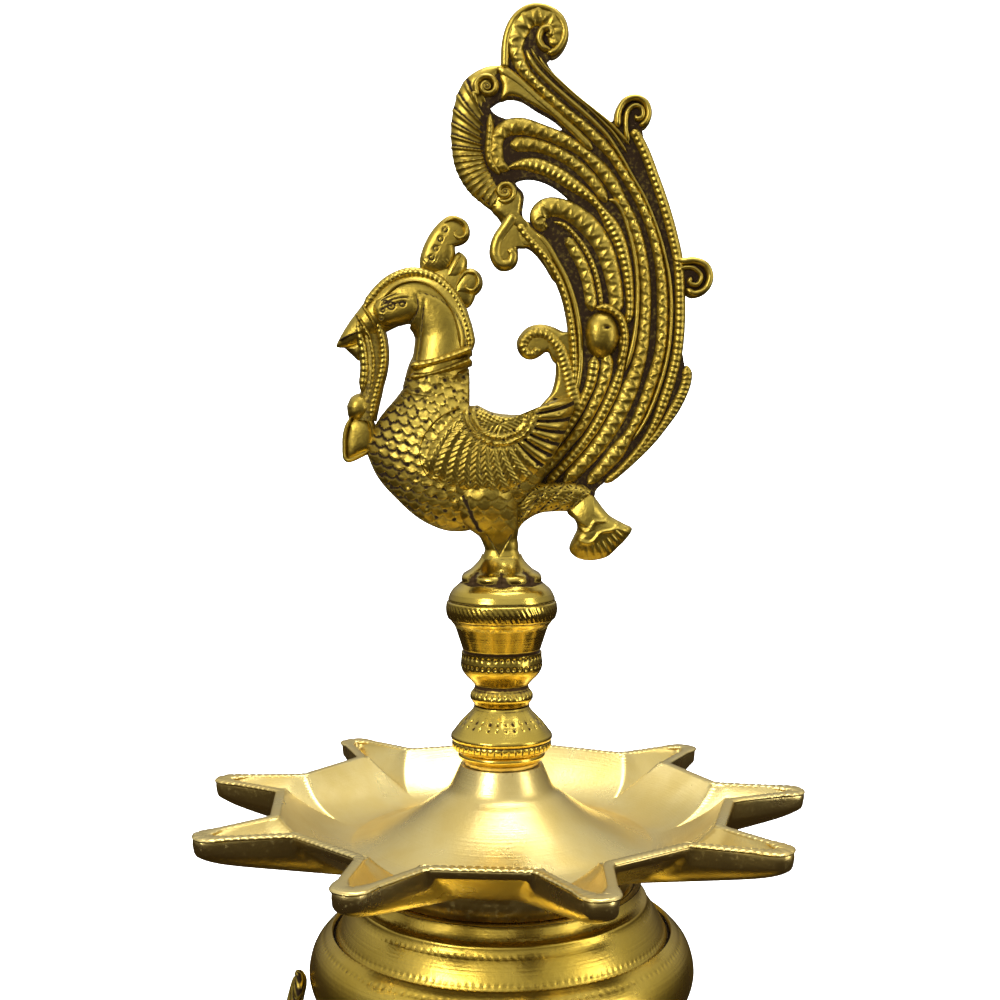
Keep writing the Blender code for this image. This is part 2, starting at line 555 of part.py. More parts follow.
def make_finial_turnings(parent, base):
    """The skirt that stands on the dish's cone and the knob above it. Returns the bird's seat."""
    r, h, n = FINIAL_FOOT_RADIUS, FINIAL_FOOT_HEIGHT, FINIAL_NECK_RADIUS
    outer = [(CONE_TOP_RADIUS - 1 * MM, 0)]
    outer += arc(CONE_TOP_RADIUS + 0.6 * MM, 2.2 * MM, 1.6 * MM, -50, 50, 3)
    outer += [(r - 1.2 * MM, 5 * MM), (r, 7.5 * MM), (r, 9.5 * MM)]
    outer += smooth_curve([(r - 0.6 * MM, 11 * MM), (n + 4 * MM, 17 * MM), (n + 0.6 * MM, h - 1 * MM), (n, h)], 2)
    inner = bore(FINIAL_STUD_RADIUS, h)
    add_object("finial_foot", turned_mesh("finial_foot", outer, inner, ROUND_SMALL, base), parent)
    base += h + GAP

    r, h = FINIAL_KNOB_RADIUS, FINIAL_KNOB_HEIGHT
    outer = [(n, 0), (n + 1.5 * MM, 2 * MM), (n + 1.7 * MM, 4 * MM), (n + 0.8 * MM, 6.5 * MM), (n, 8.4 * MM)]
    outer += smooth_curve([(n + 3.7 * MM, 12.6 * MM), (n + 6 * MM, 15.5 * MM), (n + 6 * MM, 21 * MM)], 2)
    outer += [(n + 5.4 * MM, 23 * MM)]
    outer += smooth_curve([(n + 7.2 * MM, 27.5 * MM), (r - 1.2 * MM, 33.5 * MM), (r, 38 * MM),
                           (r - 1 * MM, 42 * MM)], 2)
    outer += [(17 * MM, 47.5 * MM), (16.6 * MM, 52 * MM)]
    outer += smooth_curve([(14.7 * MM, 54.5 * MM), (10 * MM, 58.6 * MM), (SHANK_RADIUS, h)], 2)
    inner = bore(FINIAL_STUD_RADIUS, h)
    add_object("finial_knob", turned_mesh("finial_knob", outer, inner, ROUND_SMALL, base), parent)
    return base + h


def lofted(name, stations, facets=14):
    """A closed body through oval rings in the bird's mid plane: (x, z, half width, half thickness) each."""
    s = np.array(stations, float)
    middle = s[:, :2]
    along = np.gradient(middle, axis=0)
    along /= np.linalg.norm(along, axis=1)[:, None]
    across = np.stack([-along[:, 1], along[:, 0]], axis=1)
    angles = np.arange(facets) * 2 * math.pi / facets
    rings = []
    for point, side, (half_width, half_thick) in zip(middle, across, s[:, 2:]):
        flat = point[None, :] + side[None, :] * (half_width * np.cos(angles))[:, None]
        rings.append(np.stack([flat[:, 0], half_thick * np.sin(angles), flat[:, 1]], axis=1))
    points = np.concatenate(rings)
    faces = []
    for i in range(len(rings) - 1):
        for j in range(facets):
            a, b = i * facets + j, i * facets + (j + 1) % facets
            faces.append((a, b, b + facets, a + facets))
    faces.append(tuple(range(facets)))
    last = (len(rings) - 1) * facets
    faces.append(tuple(range(last + facets - 1, last - 1, -1)))
    return mesh_from(name, points * MM, faces)


def disc(name, x, z, radius, half_thick):
    """A round boss across the tail, its edges rounded, for the end of a scroll."""
    shape = bmesh.new()
    bmesh.ops.create_cone(shape, cap_ends=True, segments=16, radius1=radius * MM, radius2=radius * MM,
                          depth=2 * half_thick * MM)
    for vertex in shape.verts:
        vertex.co = (vertex.co.x + x * MM, vertex.co.z, vertex.co.y + z * MM)
    bmesh.ops.recalc_face_normals(shape, faces=shape.faces)
    mesh = bpy.data.meshes.new(name)
    shape.to_mesh(mesh)
    shape.free()
    return mesh


def in_metres(points):
    return [(x * MM, z * MM) for x, z in points]


def make_peacock(parent, seat):
    """The cast bird. Its shape is laid out in millimetres from the middle of its shank's foot."""
    tail_front = smooth_curve([(26, 60), (23, 75), (20, 85), (13, 82.5), (7, 84), (7, 91), (12, 95), (20, 95.5),
                               (26, 97), (26, 108), (20, 119), (9, 129), (5, 123), (0, 120), (-4, 126), (0, 139),
                               (-9, 147), (-18, 158), (-21, 173), (-19, 187), (-11, 199), (0, 205)], 2)
    tail_top = smooth_curve([(0, 212), (4, 225), (14, 231), (25, 226), (28, 218), (23, 209), (21, 202),
                             (33, 190), (46, 182)], 2)
    tail_back = smooth_curve([(48, 187), (56, 192), (63, 184), (59, 177), (64, 160), (71, 140), (76, 125),
                              (85, 123), (88, 116), (84, 109), (78, 107), (77, 90), (79, 78), (77, 66), (64, 47),
                              (50, 33), (39, 26)], 2)
    fan = smooth_curve([(45, 17), (54, 11.5), (50, 2), (39, -3), (29, 1), (32, 12), (24, 18), (12, 20)], 2)
    outline = tail_front + tail_top + tail_back + fan + [(0, 40)]
    upper_slot = smooth_curve([(-5, 186), (3, 190.5), (14, 188), (24, 179), (14, 178), (-3, 182.5)], 2)
    lower_slot = smooth_curve([(5, 156.5), (11, 157.5), (28, 148.5), (18, 146), (11, 139.5), (9, 148)], 2)
    tail = plate_mesh("peacock", in_metres(outline), TAIL_THICKNESS,
                      (in_metres(upper_slot), in_metres(lower_slot)), 1.5 * MM)
    bird = add_object("peacock", tail, parent, (0.7, 0.5, 0.17), 0.35)

    body = [(36, 52, 4, 4), (26, 47, 11, 9), (8, 38, 21, 16), (-14, 34.5, 24, 19), (-30, 40, 23, 19.5),
            (-35, 52, 20, 18), (-33, 64, 16.5, 15), (-28, 76, 12.5, 12), (-25, 87, 11.5, 10.5),
            (-26, 98, 12, 10.5), (-33, 106, 13, 10), (-44, 106, 11, 9), (-54, 99, 8.5, 7), (-62, 92, 5, 4.5),
            (-68, 87.5, 1.5, 1.5)]
    shank = [(-6, 26, 17, 13), (-4, 14, 11, 9), (0, 6, 7.6, 7.2), (0, 0, 8, 8)]
    garland = [(-51, 97, 4, 5), (-54, 84, 3.6, 5), (-55, 73, 4.2, 5), (-57, 62, 6.5, 6), (-59, 51, 6, 6),
               (-58, 43, 6, 6)]
    crest = [(-28, 116, 7, 4), (-27, 128, 6, 4), (-22, 136, 7.5, 3.5), (-17, 140, 2, 2)]
    curl = [(-25, 108, 6, 5), (-14, 114, 6, 5), (-9.5, 115, 3, 3)]
    lofts = (("body", body), ("shank", shank), ("garland", garland), ("crest", crest), ("curl", curl))
    for name, stations in lofts:
        boolean(bird, temporary(name, lofted(name, stations)), "UNION")
    for x, z, radius in ((17, 219, 9), (57, 183.5, 7), (80, 116, 8), (41, 92, 8.5)):
        boolean(bird, temporary("boss", disc("boss", x, z, radius, TAIL_THICKNESS / MM / 2 + 1.5)), "UNION")
    grow = PEACOCK_HEIGHT / (231 * MM)
    bird.data.transform(Matrix.Diagonal((grow, grow, grow, 1)))
    hole_radius = FINIAL_STUD_RADIUS + STUD_CLEARANCE
    shape = bmesh.new()
    depth = SHANK_HOLE_DEPTH + GAP
    bmesh.ops.create_cone(shape, cap_ends=True, segments=ROUND_SMALL, radius1=hole_radius, radius2=hole_radius,
                          depth=2 * depth)
    socket = bpy.data.meshes.new("socket")
    shape.to_mesh(socket)
    shape.free()
    boolean(bird, temporary("socket", socket), "DIFFERENCE")
    bird.location = (0, 0, seat)
    return bird


# ---------------------------------------------------------------- assembly

def build():
    """Stacks the lamp from the floor up; each screwed joint has an empty for its washer and one that turns."""
    clear_scene()
    foot = add_joint_empty("foot_axis")
    dome_top = make_foot(foot)

    column_rise = add_joint_empty("column_rise_axis", foot)
    washer("column_washer", DOME_NECK_RADIUS, STUD_RADIUS + STUD_CLEARANCE, dome_top + GAP, column_rise)
    column = add_joint_empty("column_turn_axis", column_rise)
    drum_base = make_column(column, dome_top + 2 * GAP + WASHER_THICKNESS)
    drum_top = make_drum(column, drum_base)

    dish_rise = add_joint_empty("dish_rise_axis", column)
    washer("dish_washer", CAPITAL_BOSS_RADIUS, STUD_RADIUS + STUD_CLEARANCE, drum_top + GAP, dish_rise)
    dish = add_joint_empty("dish_turn_axis", dish_rise)
    capital_base = drum_top + 2 * GAP + WASHER_THICKNESS
    capital_top = make_capital(dish, capital_base)
    dish_base = capital_top + GAP
    rod("dish_stud", STUD_RADIUS, drum_top - STUD_ENGAGEMENT, dish_base + 19 * MM, dish)
    cone_top = make_dish(dish, dish_base)

    finial_rise = add_joint_empty("finial_rise_axis", dish)
    washer("finial_washer", CONE_TOP_RADIUS - 1.4 * MM, FINIAL_STUD_RADIUS + STUD_CLEARANCE, cone_top + GAP,
           finial_rise)
    finial = add_joint_empty("finial_turn_axis", finial_rise)
    seat = make_finial_turnings(finial, cone_top + 2 * GAP + WASHER_THICKNESS) + GAP
    rod("finial_stud", FINIAL_STUD_RADIUS, cone_top - STUD_ENGAGEMENT, seat + SHANK_HOLE_DEPTH, finial)
    make_peacock(finial, seat)


build()
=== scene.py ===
import math

import bpy
import numpy as np
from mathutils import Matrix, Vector


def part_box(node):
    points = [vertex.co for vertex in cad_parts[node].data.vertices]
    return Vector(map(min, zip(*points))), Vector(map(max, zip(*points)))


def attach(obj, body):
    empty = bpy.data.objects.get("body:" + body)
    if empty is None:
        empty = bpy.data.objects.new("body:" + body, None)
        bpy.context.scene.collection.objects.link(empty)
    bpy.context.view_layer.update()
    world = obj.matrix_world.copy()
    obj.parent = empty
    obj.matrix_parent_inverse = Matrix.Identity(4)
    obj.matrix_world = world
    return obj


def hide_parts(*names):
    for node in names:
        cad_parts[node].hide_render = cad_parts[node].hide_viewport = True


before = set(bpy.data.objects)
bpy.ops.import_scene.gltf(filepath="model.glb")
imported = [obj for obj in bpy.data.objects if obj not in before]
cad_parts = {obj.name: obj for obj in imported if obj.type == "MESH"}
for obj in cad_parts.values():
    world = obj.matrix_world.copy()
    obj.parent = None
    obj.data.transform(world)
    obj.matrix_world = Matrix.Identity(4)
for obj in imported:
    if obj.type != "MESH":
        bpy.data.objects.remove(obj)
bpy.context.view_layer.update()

MM = 0.001               # every shape below is laid out in millimetres


# ---------------------------------------------------------------- foot

# The foot is a stepped brass casting, open underneath, with a bell-shaped dome screwed down on it.
# Both are turned on a lathe after casting, so fine rings run round them, and bands of lotus petals
# and punched dots are cut by hand.

def smooth_line(points, spacing):
    """A Catmull-Rom curve through the points, sampled at even steps along its length. Each point is (x, z,
    and any further sizes that change along the line); a point given twice is a corner."""
    p = np.asarray(points, float)
    run = np.vstack([2 * p[0] - p[1], p, 2 * p[-1] - p[-2]])
    a, b, c, d = (part[:, None, :] for part in (run[:-3], run[1:-2], run[2:-1], run[3:]))
    t = np.linspace(0, 1, 16, endpoint=False)[None, :, None]
    bends = 2 * b + (c - a) * t + (2 * a - 5 * b + 4 * c - d) * t**2 + (3 * b - a - 3 * c + d) * t**3
    dense = np.vstack([bends.reshape(-1, p.shape[1]) / 2, p[-1:]])
    length = np.concatenate([[0], np.cumsum(np.linalg.norm(np.diff(dense[:, :2], axis=0), axis=1))])
    even = np.linspace(0, length[-1], max(int(length[-1] / spacing), 3) + 1)
    return np.stack([np.interp(even, length, column) for column in dense.T], axis=1)


def grid_volume(points):
    """Signed volume of a closed grid: the sum of the tetrahedra from the middle to each face."""
    p = points - points.reshape(-1, 3).mean(0)
    a, b = p, np.roll(p, -1, 1)
    c, d = np.roll(b, -1, 0), np.roll(p, -1, 0)
    faces = np.cross(a, b) * c + np.cross(a, c) * d
    return faces[:-1].sum()


def cast_piece(name, body, finish, sheets, replaces=()):
    """One finished piece of brass. Each sheet is (points, darkness, closed): a grid of points in
    millimetres, closed round its columns, and either closed down its rows too or capped with a fan at both
    ends."""
    corners, faces, darkness = [], [], []
    start = 0
    for points, dark, closed in sheets:
        n, m = points.shape[:2]
        index = np.arange(n * m).reshape(n, m) + start
        rows = slice(0, n if closed else n - 1)
        right, below = np.roll(index, -1, 1), np.roll(index, -1, 0)
        quads = np.stack([index, right, np.roll(right, -1, 0), below], axis=2)[rows].reshape(-1, 4)
        corners.append(points.reshape(-1, 3))
        darkness.append(np.broadcast_to(dark, (n, m)).ravel())
        fans = np.zeros((0, 3), int)
        if not closed:
            poles = points[[0, -1]].mean(1)
            corners.append(poles)
            darkness.append(darkness[-1][[0, -1]])
            first, last = np.full(m, start + n * m), np.full(m, start + n * m + 1)
            fans = np.vstack([np.stack([right[0], index[0], first], axis=1),
                              np.stack([index[-1], right[-1], last], axis=1)])
            start += 2
        start += n * m
        if grid_volume(points) < 0:
            quads, fans = quads[:, ::-1], fans[:, ::-1]
        faces += quads.tolist() + fans.tolist()
    mesh = bpy.data.meshes.new(name)
    mesh.from_pydata(np.vstack(corners) * MM, [], faces)
    mesh.attributes.new("darkness", "FLOAT", "POINT").data.foreach_set("value", np.concatenate(darkness))
    mesh.shade_smooth()
    mesh.set_sharp_from_angle(angle=math.radians(55))
    mesh.materials.append(finish)
    piece = bpy.data.objects.new(name, mesh)
    bpy.context.scene.collection.objects.link(piece)
    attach(piece, body)
    if replaces:
        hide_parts(*replaces)
    return piece


def turned_sheet(outer, inner, base, spacing=0.7, facets=224, relief=None):
    """A lathe turning: the section (outer line up, inner line down, both (radius, height)) revolved about
    the lamp's axis. relief(angle, radius, height) says how far the outside stands out of it. It is painted
    dark where hollow or cut in, as shade together with patina, and on its inner faces as shade."""
    outside = smooth_line(outer, spacing)
    inside = np.asarray(inner, float)
    section = np.vstack([outside, inside])
    along = np.roll(section, -1, 0) - np.roll(section, 1, 0)
    along[len(outside):] = 0
    along /= np.maximum(np.linalg.norm(along, axis=1, keepdims=True), 1e-9)
    angle = (np.arange(facets) * 2 * math.pi / facets)[None, :]
    radius, height = section[:, :1], section[:, 1:]
    stand = np.zeros((len(section), facets))
    if relief:
        cut = np.broadcast_to(relief(angle, radius, height), stand.shape)
        stand[1:len(outside) - 1] = cut[1:len(outside) - 1]
    r = radius + along[:, 1:] * stand
    z = height - along[:, :1] * stand + base
    points = np.stack([r * np.cos(angle), r * np.sin(angle), np.broadcast_to(z, r.shape)], axis=2)
    # painted shade: hollows and cuts in the outside are darkened, and the inner faces are nearly black
    reach = max(int(1.6 / spacing), 1)
    chord = (np.roll(section, reach, 0) + np.roll(section, -reach, 0)) / 2 - section
    hollow = chord[:, 0] * along[:, 1] - chord[:, 1] * along[:, 0]
    dark = np.clip(hollow * 2.2, 0, 1)[:, None] + np.clip(-stand * 1.6, 0, 1)
    dark[len(outside):] = 0.9
    return points, np.clip(dark, 0, 1), True


def groove(height, level, width):
    """A smooth trough, 1 deep, along one height."""
    return np.exp(-((height - level) / width) ** 2)


def dots(angle, height, level, count, radius, size):
    """Punch marks, 1 deep, evenly spaced round one height of a turning of that radius."""
    pitch = 2 * math.pi / count
    off = ((angle + pitch / 2) % pitch - pitch / 2) * radius
    return np.exp(-(off / size) ** 2 - ((height - level) / size) ** 2)


def petals(angle, height, low, high, count, depth):
    """A band of lotus petals: each stands out in its middle, and its outline narrows to a point at the
    top."""
    pitch = 2 * math.pi / count
    off = np.abs((angle + pitch / 2) % pitch - pitch / 2) / (pitch / 2)
    up = np.clip((height - low) / (high - low), 0, 1)
    width = np.sqrt(np.clip(1 - up**2.2, 0, 1)) * 0.94
    inside = np.clip((width - off) / 0.16, 0, 1) * (height > low) * (height < high)
    return depth * inside * (0.55 + 0.45 * np.cos(off * math.pi / 2))


def brass(name, bright, warm, shade_and_tarnish, roughness, grain, lathe_marks, wear=0.5):
    """Brass, bright on what a polisher reaches and dark in its hollows. The darkness attribute, broken up
    by two noises, mixes in a dark colour that paints shade and the brown patina of the hollows together;
    fine noise makes the casting's grain, and noise on (radius, height) the rings that a lathe leaves."""
    material = bpy.data.materials.new(name)
    material.use_nodes = True
    tree = material.node_tree
    shader = tree.nodes["Principled BSDF"]

    def add(kind, **settings):
        made = tree.nodes.new(kind)
        for key, value in settings.items():
            setattr(made, key, value)
        return made

    def noise(scale, detail, place):
        made = add("ShaderNodeTexNoise")
        made.inputs["Scale"].default_value = scale
        made.inputs["Detail"].default_value = detail
        tree.links.new(place, made.inputs["Vector"])
        return made.outputs["Fac"]

    def maths(kind, first, second):
        made = add("ShaderNodeMath", operation=kind)
        for socket, value in zip(made.inputs, (first, second)):
            if isinstance(value, (int, float)):
                socket.default_value = value
            else:
                tree.links.new(value, socket)
        return made.outputs[0]

    def blend_colours(share, first, second):
        made = add("ShaderNodeMix", data_type="RGBA")
        tree.links.new(share, made.inputs["Factor"])
        for socket, value in ((made.inputs[6], first), (made.inputs[7], second)):
            if isinstance(value, tuple):
                socket.default_value = (*value, 1)
            else:
                tree.links.new(value, socket)
        return made.outputs[2]

    def remap(value, low, high, bottom, top):
        made = add("ShaderNodeMapRange", interpolation_type="SMOOTHSTEP")
        tree.links.new(value, made.inputs["Value"])
        for socket, number in zip(made.inputs[1:5], (low, high, bottom, top)):
            socket.default_value = number
        return made.outputs[0]

    place = add("ShaderNodeTexCoord").outputs["Object"]
    cloud = noise(38, 5, place)
    speck = noise(620, 4, place)
    fine = noise(1500, 3, place)
    dark = add("ShaderNodeAttribute", attribute_name="darkness").outputs["Fac"]
    uneven = maths("ADD", dark, maths("MULTIPLY", maths("SUBTRACT", speck, 0.5), 0.9))
    uneven = maths("ADD", uneven, maths("MULTIPLY", maths("SUBTRACT", cloud, 0.5), wear))
    # painted shade together with patina: where the darkness attribute is high the brass turns dark brown
    shade_and_patina = remap(uneven, 0.22, 0.86, 0, 1)
    metal = blend_colours(remap(cloud, 0.3, 0.7, 0, 1), bright, warm)
    tree.links.new(blend_colours(shade_and_patina, metal, shade_and_tarnish), shader.inputs["Base Color"])
    tree.links.new(maths("SUBTRACT", 1, maths("MULTIPLY", shade_and_patina, 0.55)), shader.inputs["Metallic"])
    rough = maths("ADD", remap(cloud, 0.25, 0.75, roughness, roughness + 0.1),
                  maths("MULTIPLY", shade_and_patina, 0.35))
    tree.links.new(rough, shader.inputs["Roughness"])

    height = maths("ADD", maths("MULTIPLY", speck, grain), maths("MULTIPLY", fine, grain * 0.45))
    if lathe_marks:
        split = add("ShaderNodeSeparateXYZ")
        tree.links.new(place, split.inputs[0])
        flat = add("ShaderNodeCombineXYZ")
        tree.links.new(split.outputs[0], flat.inputs[0])
        tree.links.new(split.outputs[1], flat.inputs[1])
        radius = add("ShaderNodeVectorMath", operation="LENGTH")
        tree.links.new(flat.outputs[0], radius.inputs[0])
        ring = add("ShaderNodeCombineXYZ")
        tree.links.new(radius.outputs["Value"], ring.inputs[0])
        tree.links.new(split.outputs[2], ring.inputs[2])
        height = maths("ADD", height, maths("MULTIPLY", noise(1100, 2, ring.outputs[0]), lathe_marks))
    tree.links.new(maths("SUBTRACT", 0.1, maths("MULTIPLY", shade_and_patina, 0.1)), shader.inputs["Coat Weight"])
    shader.inputs["Coat Roughness"].default_value = 0.3
    shader.inputs["Specular IOR Level"].default_value = 0.2
    bump = add("ShaderNodeBump")
    bump.inputs["Strength"].default_value = 0.5
    bump.inputs["Distance"].default_value = 0.0004
    tree.links.new(height, bump.inputs["Height"])
    tree.links.new(bump.outputs["Normal"], shader.inputs["Normal"])
    return material


turned_brass = brass("turned_brass", (0.68, 0.49, 0.085), (0.56, 0.39, 0.052), (0.05, 0.026, 0.008), 0.24,
                     0.35, 0.4)
plain_brass = brass("plain_brass_fasteners", (0.74, 0.54, 0.15), (0.62, 0.42, 0.09), (0.05, 0.03, 0.01),
                    0.34, 0.5, 0.2)

foot_low, foot_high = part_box("foot_base")
foot_radius = foot_high.x / MM
foot_height = (foot_high.z - foot_low.z) / MM
dome_low, dome_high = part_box("foot_dome")
dome_radius = dome_high.x / MM
spigot_radius = 13
step_radius = dome_radius + 6
foot_wall = 4
foot_outline = [(foot_radius - 2, 0), (foot_radius - 2, 0), (foot_radius, 2), (foot_radius, 7),
                (foot_radius - 3, 9), (foot_radius - 3, 9), (foot_radius - 4, 11), (foot_radius - 12, 18),
                (step_radius + 4, 24), (step_radius, foot_height - 8), (step_radius, foot_height - 8),
                (step_radius, foot_height - 3), (step_radius - 1, foot_height - 1),
                (step_radius - 3, foot_height), (step_radius - 3, foot_height),
                (spigot_radius + 0.3, foot_height)]
foot_inside = [(spigot_radius + 0.3, foot_height), (spigot_radius + 0.3, foot_height - foot_wall),
               (step_radius - foot_wall, foot_height - foot_wall),
               (step_radius - foot_wall, foot_height - 10), (foot_radius - 16, 14), (foot_radius - 8, 6),
               (foot_radius - 8, 0)]


def foot_carving(angle, radius, height):
    """A ring of lotus petals on the slope, and a line of punched dots on the step."""
    leaf = petals(angle, height, 10.5, 24, 36, 1.3) * (radius > step_radius)
    dot = dots(angle, height, foot_height - 5.5, 96, step_radius, 0.9) * (radius > step_radius - 1)
    return leaf - 0.8 * dot - 0.5 * groove(height, 4.6, 0.7) * (radius > foot_radius - 2)


foot_sheet = turned_sheet(foot_outline, foot_inside, foot_low.z / MM, 1.0, 360, foot_carving)
cast_piece("foot_base_turned", "foot", turned_brass, [foot_sheet], ["foot_base"])

dome_step = foot_wall + 14
dome_rise = (dome_high.z - dome_low.z) / MM - dome_step
dome_neck = 24
dome_outline = [(spigot_radius, -dome_step), (spigot_radius, -dome_step), (spigot_radius, 0),
                (spigot_radius, 0), (dome_radius - 1.5, 0), (dome_radius - 1.5, 0), (dome_radius, 1.6),
                (dome_radius, 4), (dome_radius - 1.5, 5.6), (dome_radius - 3, 6.2), (dome_radius - 3, 6.2),
                (dome_radius - 5, 8), (dome_radius * 0.83, 18), (dome_neck + 14, dome_rise * 0.58),
                (dome_neck + 2, dome_rise * 0.78), (dome_neck, dome_rise - 7), (dome_neck, dome_rise - 7),
                (dome_neck + 2.6, dome_rise - 5), (dome_neck + 3, dome_rise - 3),
                (dome_neck + 2, dome_rise), (dome_neck + 2, dome_rise), (6.3, dome_rise)]


def dome_carving(angle, radius, height):
    """Two cut rings, and long petals that climb the bell."""
    on_bell = (radius < dome_radius - 3.2) & (radius > dome_neck + 0.5) & (height > 6)
    leaf = petals(angle, height, 9, dome_rise * 0.66, 24, 1.5) * on_bell
    return leaf - 0.7 * (groove(height, 7.6, 0.5) + groove(height, dome_rise * 0.7, 0.5)) * on_bell


dome_sheet = turned_sheet(dome_outline, [(6.3, dome_rise), (6.3, -dome_step)], dome_low.z / MM + dome_step,
                          0.9, 320, dome_carving)
cast_piece("foot_dome_turned", "foot", turned_brass, [dome_sheet], ["foot_dome"])


# ---------------------------------------------------------------- nuts, washers, screws and threaded rods

# Plain machined brass: hexagon nuts and thin washers clamp the sections, and three threaded rods with a
# 3 mm lead run through them. The nuts, washers and screws keep the frame's own shapes.

for node in ("foot_nut", "foot_lock_washer", "column_washer", "column_nut", "dish_washer", "finial_washer",
             "bracket_screw_1", "bracket_screw_2", "bracket_screw_3"):
    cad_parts[node].data.materials.clear()
    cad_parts[node].data.materials.append(plain_brass)


def threaded_rod(node, lead=3.0, depth=0.55):
    """A rod whose radius falls by a rounded V along a helix, and is chamfered at both ends."""
    low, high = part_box(node)
    full = high.x / MM
    height = np.arange(low.z / MM, high.z / MM, 0.35)
    height[-1] = high.z / MM
    angle = np.arange(32) * 2 * math.pi / 32
    turn = (height[:, None] / lead - angle[None, :] / (2 * math.pi)) % 1
    end = np.minimum(height - height[0], height[-1] - height)[:, None]
    radius = full - depth * (0.5 + 0.5 * np.cos(turn * 2 * math.pi)) - np.clip(1 - end, 0, 1) * 0.9
    flat = np.broadcast_to(height[:, None], radius.shape)
    points = np.stack([radius * np.cos(angle), radius * np.sin(angle), flat], axis=2)
    # the thread's roots are painted darker, as shade in the groove
    return points, np.clip((full - radius) / depth, 0, 1) * 0.5, False


for node, body in (("column_stud", "column"), ("dish_stud", "dish"), ("finial_stud", "finial")):
    cast_piece(node + "_threaded", body, plain_brass, [threaded_rod(node)], [node])


# ---------------------------------------------------------------- column

# Four turned sections slip over the rod: a rope-edged collar, a vase-shaped baluster, a fluted knop and a
# second baluster upside down. The balusters are cored; the beads between them are polished brighter.

polished_brass = brass("polished_brass", (0.68, 0.51, 0.10), (0.58, 0.42, 0.065), (0.05, 0.026, 0.008),
                       0.15, 0.25, 0.25)
neck = 15
rod_hole = 6.3


def straight_bore(radius, height):
    """The inner line of a turning that is bored right through."""
    return [(radius, height), (radius, height * 0.5), (radius, 0)]


def node_height(node):
    """A node's foot and its height, in millimetres."""
    low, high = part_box(node)
    return low.z / MM, (high.z - low.z) / MM


collar_base, collar_height = node_height("lower_collar")
collar_outline = [(neck + 6, 0), (neck + 6, 0), (neck + 7, 3), (neck + 7, 3), (27, 4.2), (29.4, 6),
                  (30, collar_height / 2), (29.4, collar_height - 6), (27, collar_height - 4.2),
                  (neck + 4, collar_height - 3), (neck + 4, collar_height - 3), (neck + 3, collar_height),
                  (neck + 3, collar_height), (rod_hole, collar_height)]


def rope_edge(angle, radius, height):
    """Slanting cuts that make the collar's rim a twisted rope."""
    twist = np.cos(angle * 40 + height * 1.1)
    return -0.7 * np.clip(twist, 0, 1) ** 3 * (radius > 26.5)


cast_piece("lower_collar_turned", "column", polished_brass,
           [turned_sheet(collar_outline, straight_bore(rod_hole, collar_height), collar_base, 0.5, 320,
                         rope_edge)], ["lower_collar"])

lower_base, lower_height = node_height("lower_baluster")
lower_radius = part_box("lower_baluster")[1].x / MM
lower_outline = [(neck + 2, 0), (neck + 2, 0), (neck + 2.6, 1.5), (neck + 2, 3), (neck + 2, 3), (neck, 6),
                 (neck + 7, lower_height * 0.18), (lower_radius, lower_height * 0.42),
                 (lower_radius - 7, lower_height * 0.64), (neck, lower_height * 0.84),
                 (neck, lower_height - 6), (neck, lower_height - 6), (neck + 3, lower_height - 4),
                 (neck + 3, lower_height), (neck + 3, lower_height), (rod_hole, lower_height)]
lower_inside = [(rod_hole, lower_height), (rod_hole, lower_height * 0.78), (12, lower_height * 0.76),
                (24, lower_height * 0.42), (12, lower_height * 0.16), (rod_hole, lower_height * 0.14),
                (rod_hole, 0)]


def lower_carving(angle, radius, height):
    """Petals rise from the foot, and a hatched band with a line on each side goes round the widest
    place."""
    leaf = petals(angle, height, lower_height * 0.1, lower_height * 0.36, 14, 1.0)
    inside = np.clip(2.6 - np.abs(height - lower_height * 0.44), 0, 0.4) / 0.4
    hatch = np.clip(np.cos(angle * 90 + height * 1.6), 0, 1) * inside
    lines = groove(height, lower_height * 0.44 - 3.4, 0.4) + groove(height, lower_height * 0.44 + 3.4, 0.4)
    return (leaf - 0.35 * hatch - 0.6 * lines) * (radius > neck + 0.6)


cast_piece("lower_baluster_turned", "column", turned_brass,
           [turned_sheet(lower_outline, lower_inside, lower_base, 0.6, 300, lower_carving)],
           ["lower_baluster"])

knop_base, knop_height = node_height("knop")
knop_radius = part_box("knop")[1].x / MM
knop_outline = [(neck + 3, 0), (neck + 3, 0), (neck + 3.4, 1.5), (neck + 3, 3), (neck + 3, 3),
                (neck + 1, 5), (neck + 1, 5), (knop_radius - 6, knop_height * 0.21),
                (knop_radius - 1.2, knop_height * 0.34), (knop_radius, knop_height * 0.5),
                (knop_radius - 1.2, knop_height * 0.66), (knop_radius - 6, knop_height * 0.79),
                (neck + 1, knop_height - 5), (neck + 1, knop_height - 5), (neck + 3, knop_height - 3),
                (neck + 3, knop_height), (neck + 3, knop_height), (rod_hole, knop_height)]


def gadroons(angle, radius, height):
    """Round flutes side by side on the knop, with a line round its middle."""
    share = np.clip((radius - neck - 2) / 6, 0, 1)
    flute = 1.1 * (np.abs(np.sin(angle * 12)) ** 0.7 - 1)
    return share * (flute - 0.5 * groove(height, knop_height / 2, 0.5))


cast_piece("knop_turned", "column", polished_brass,
           [turned_sheet(knop_outline, straight_bore(rod_hole, knop_height), knop_base, 0.5, 320,
                         gadroons)], ["knop"])

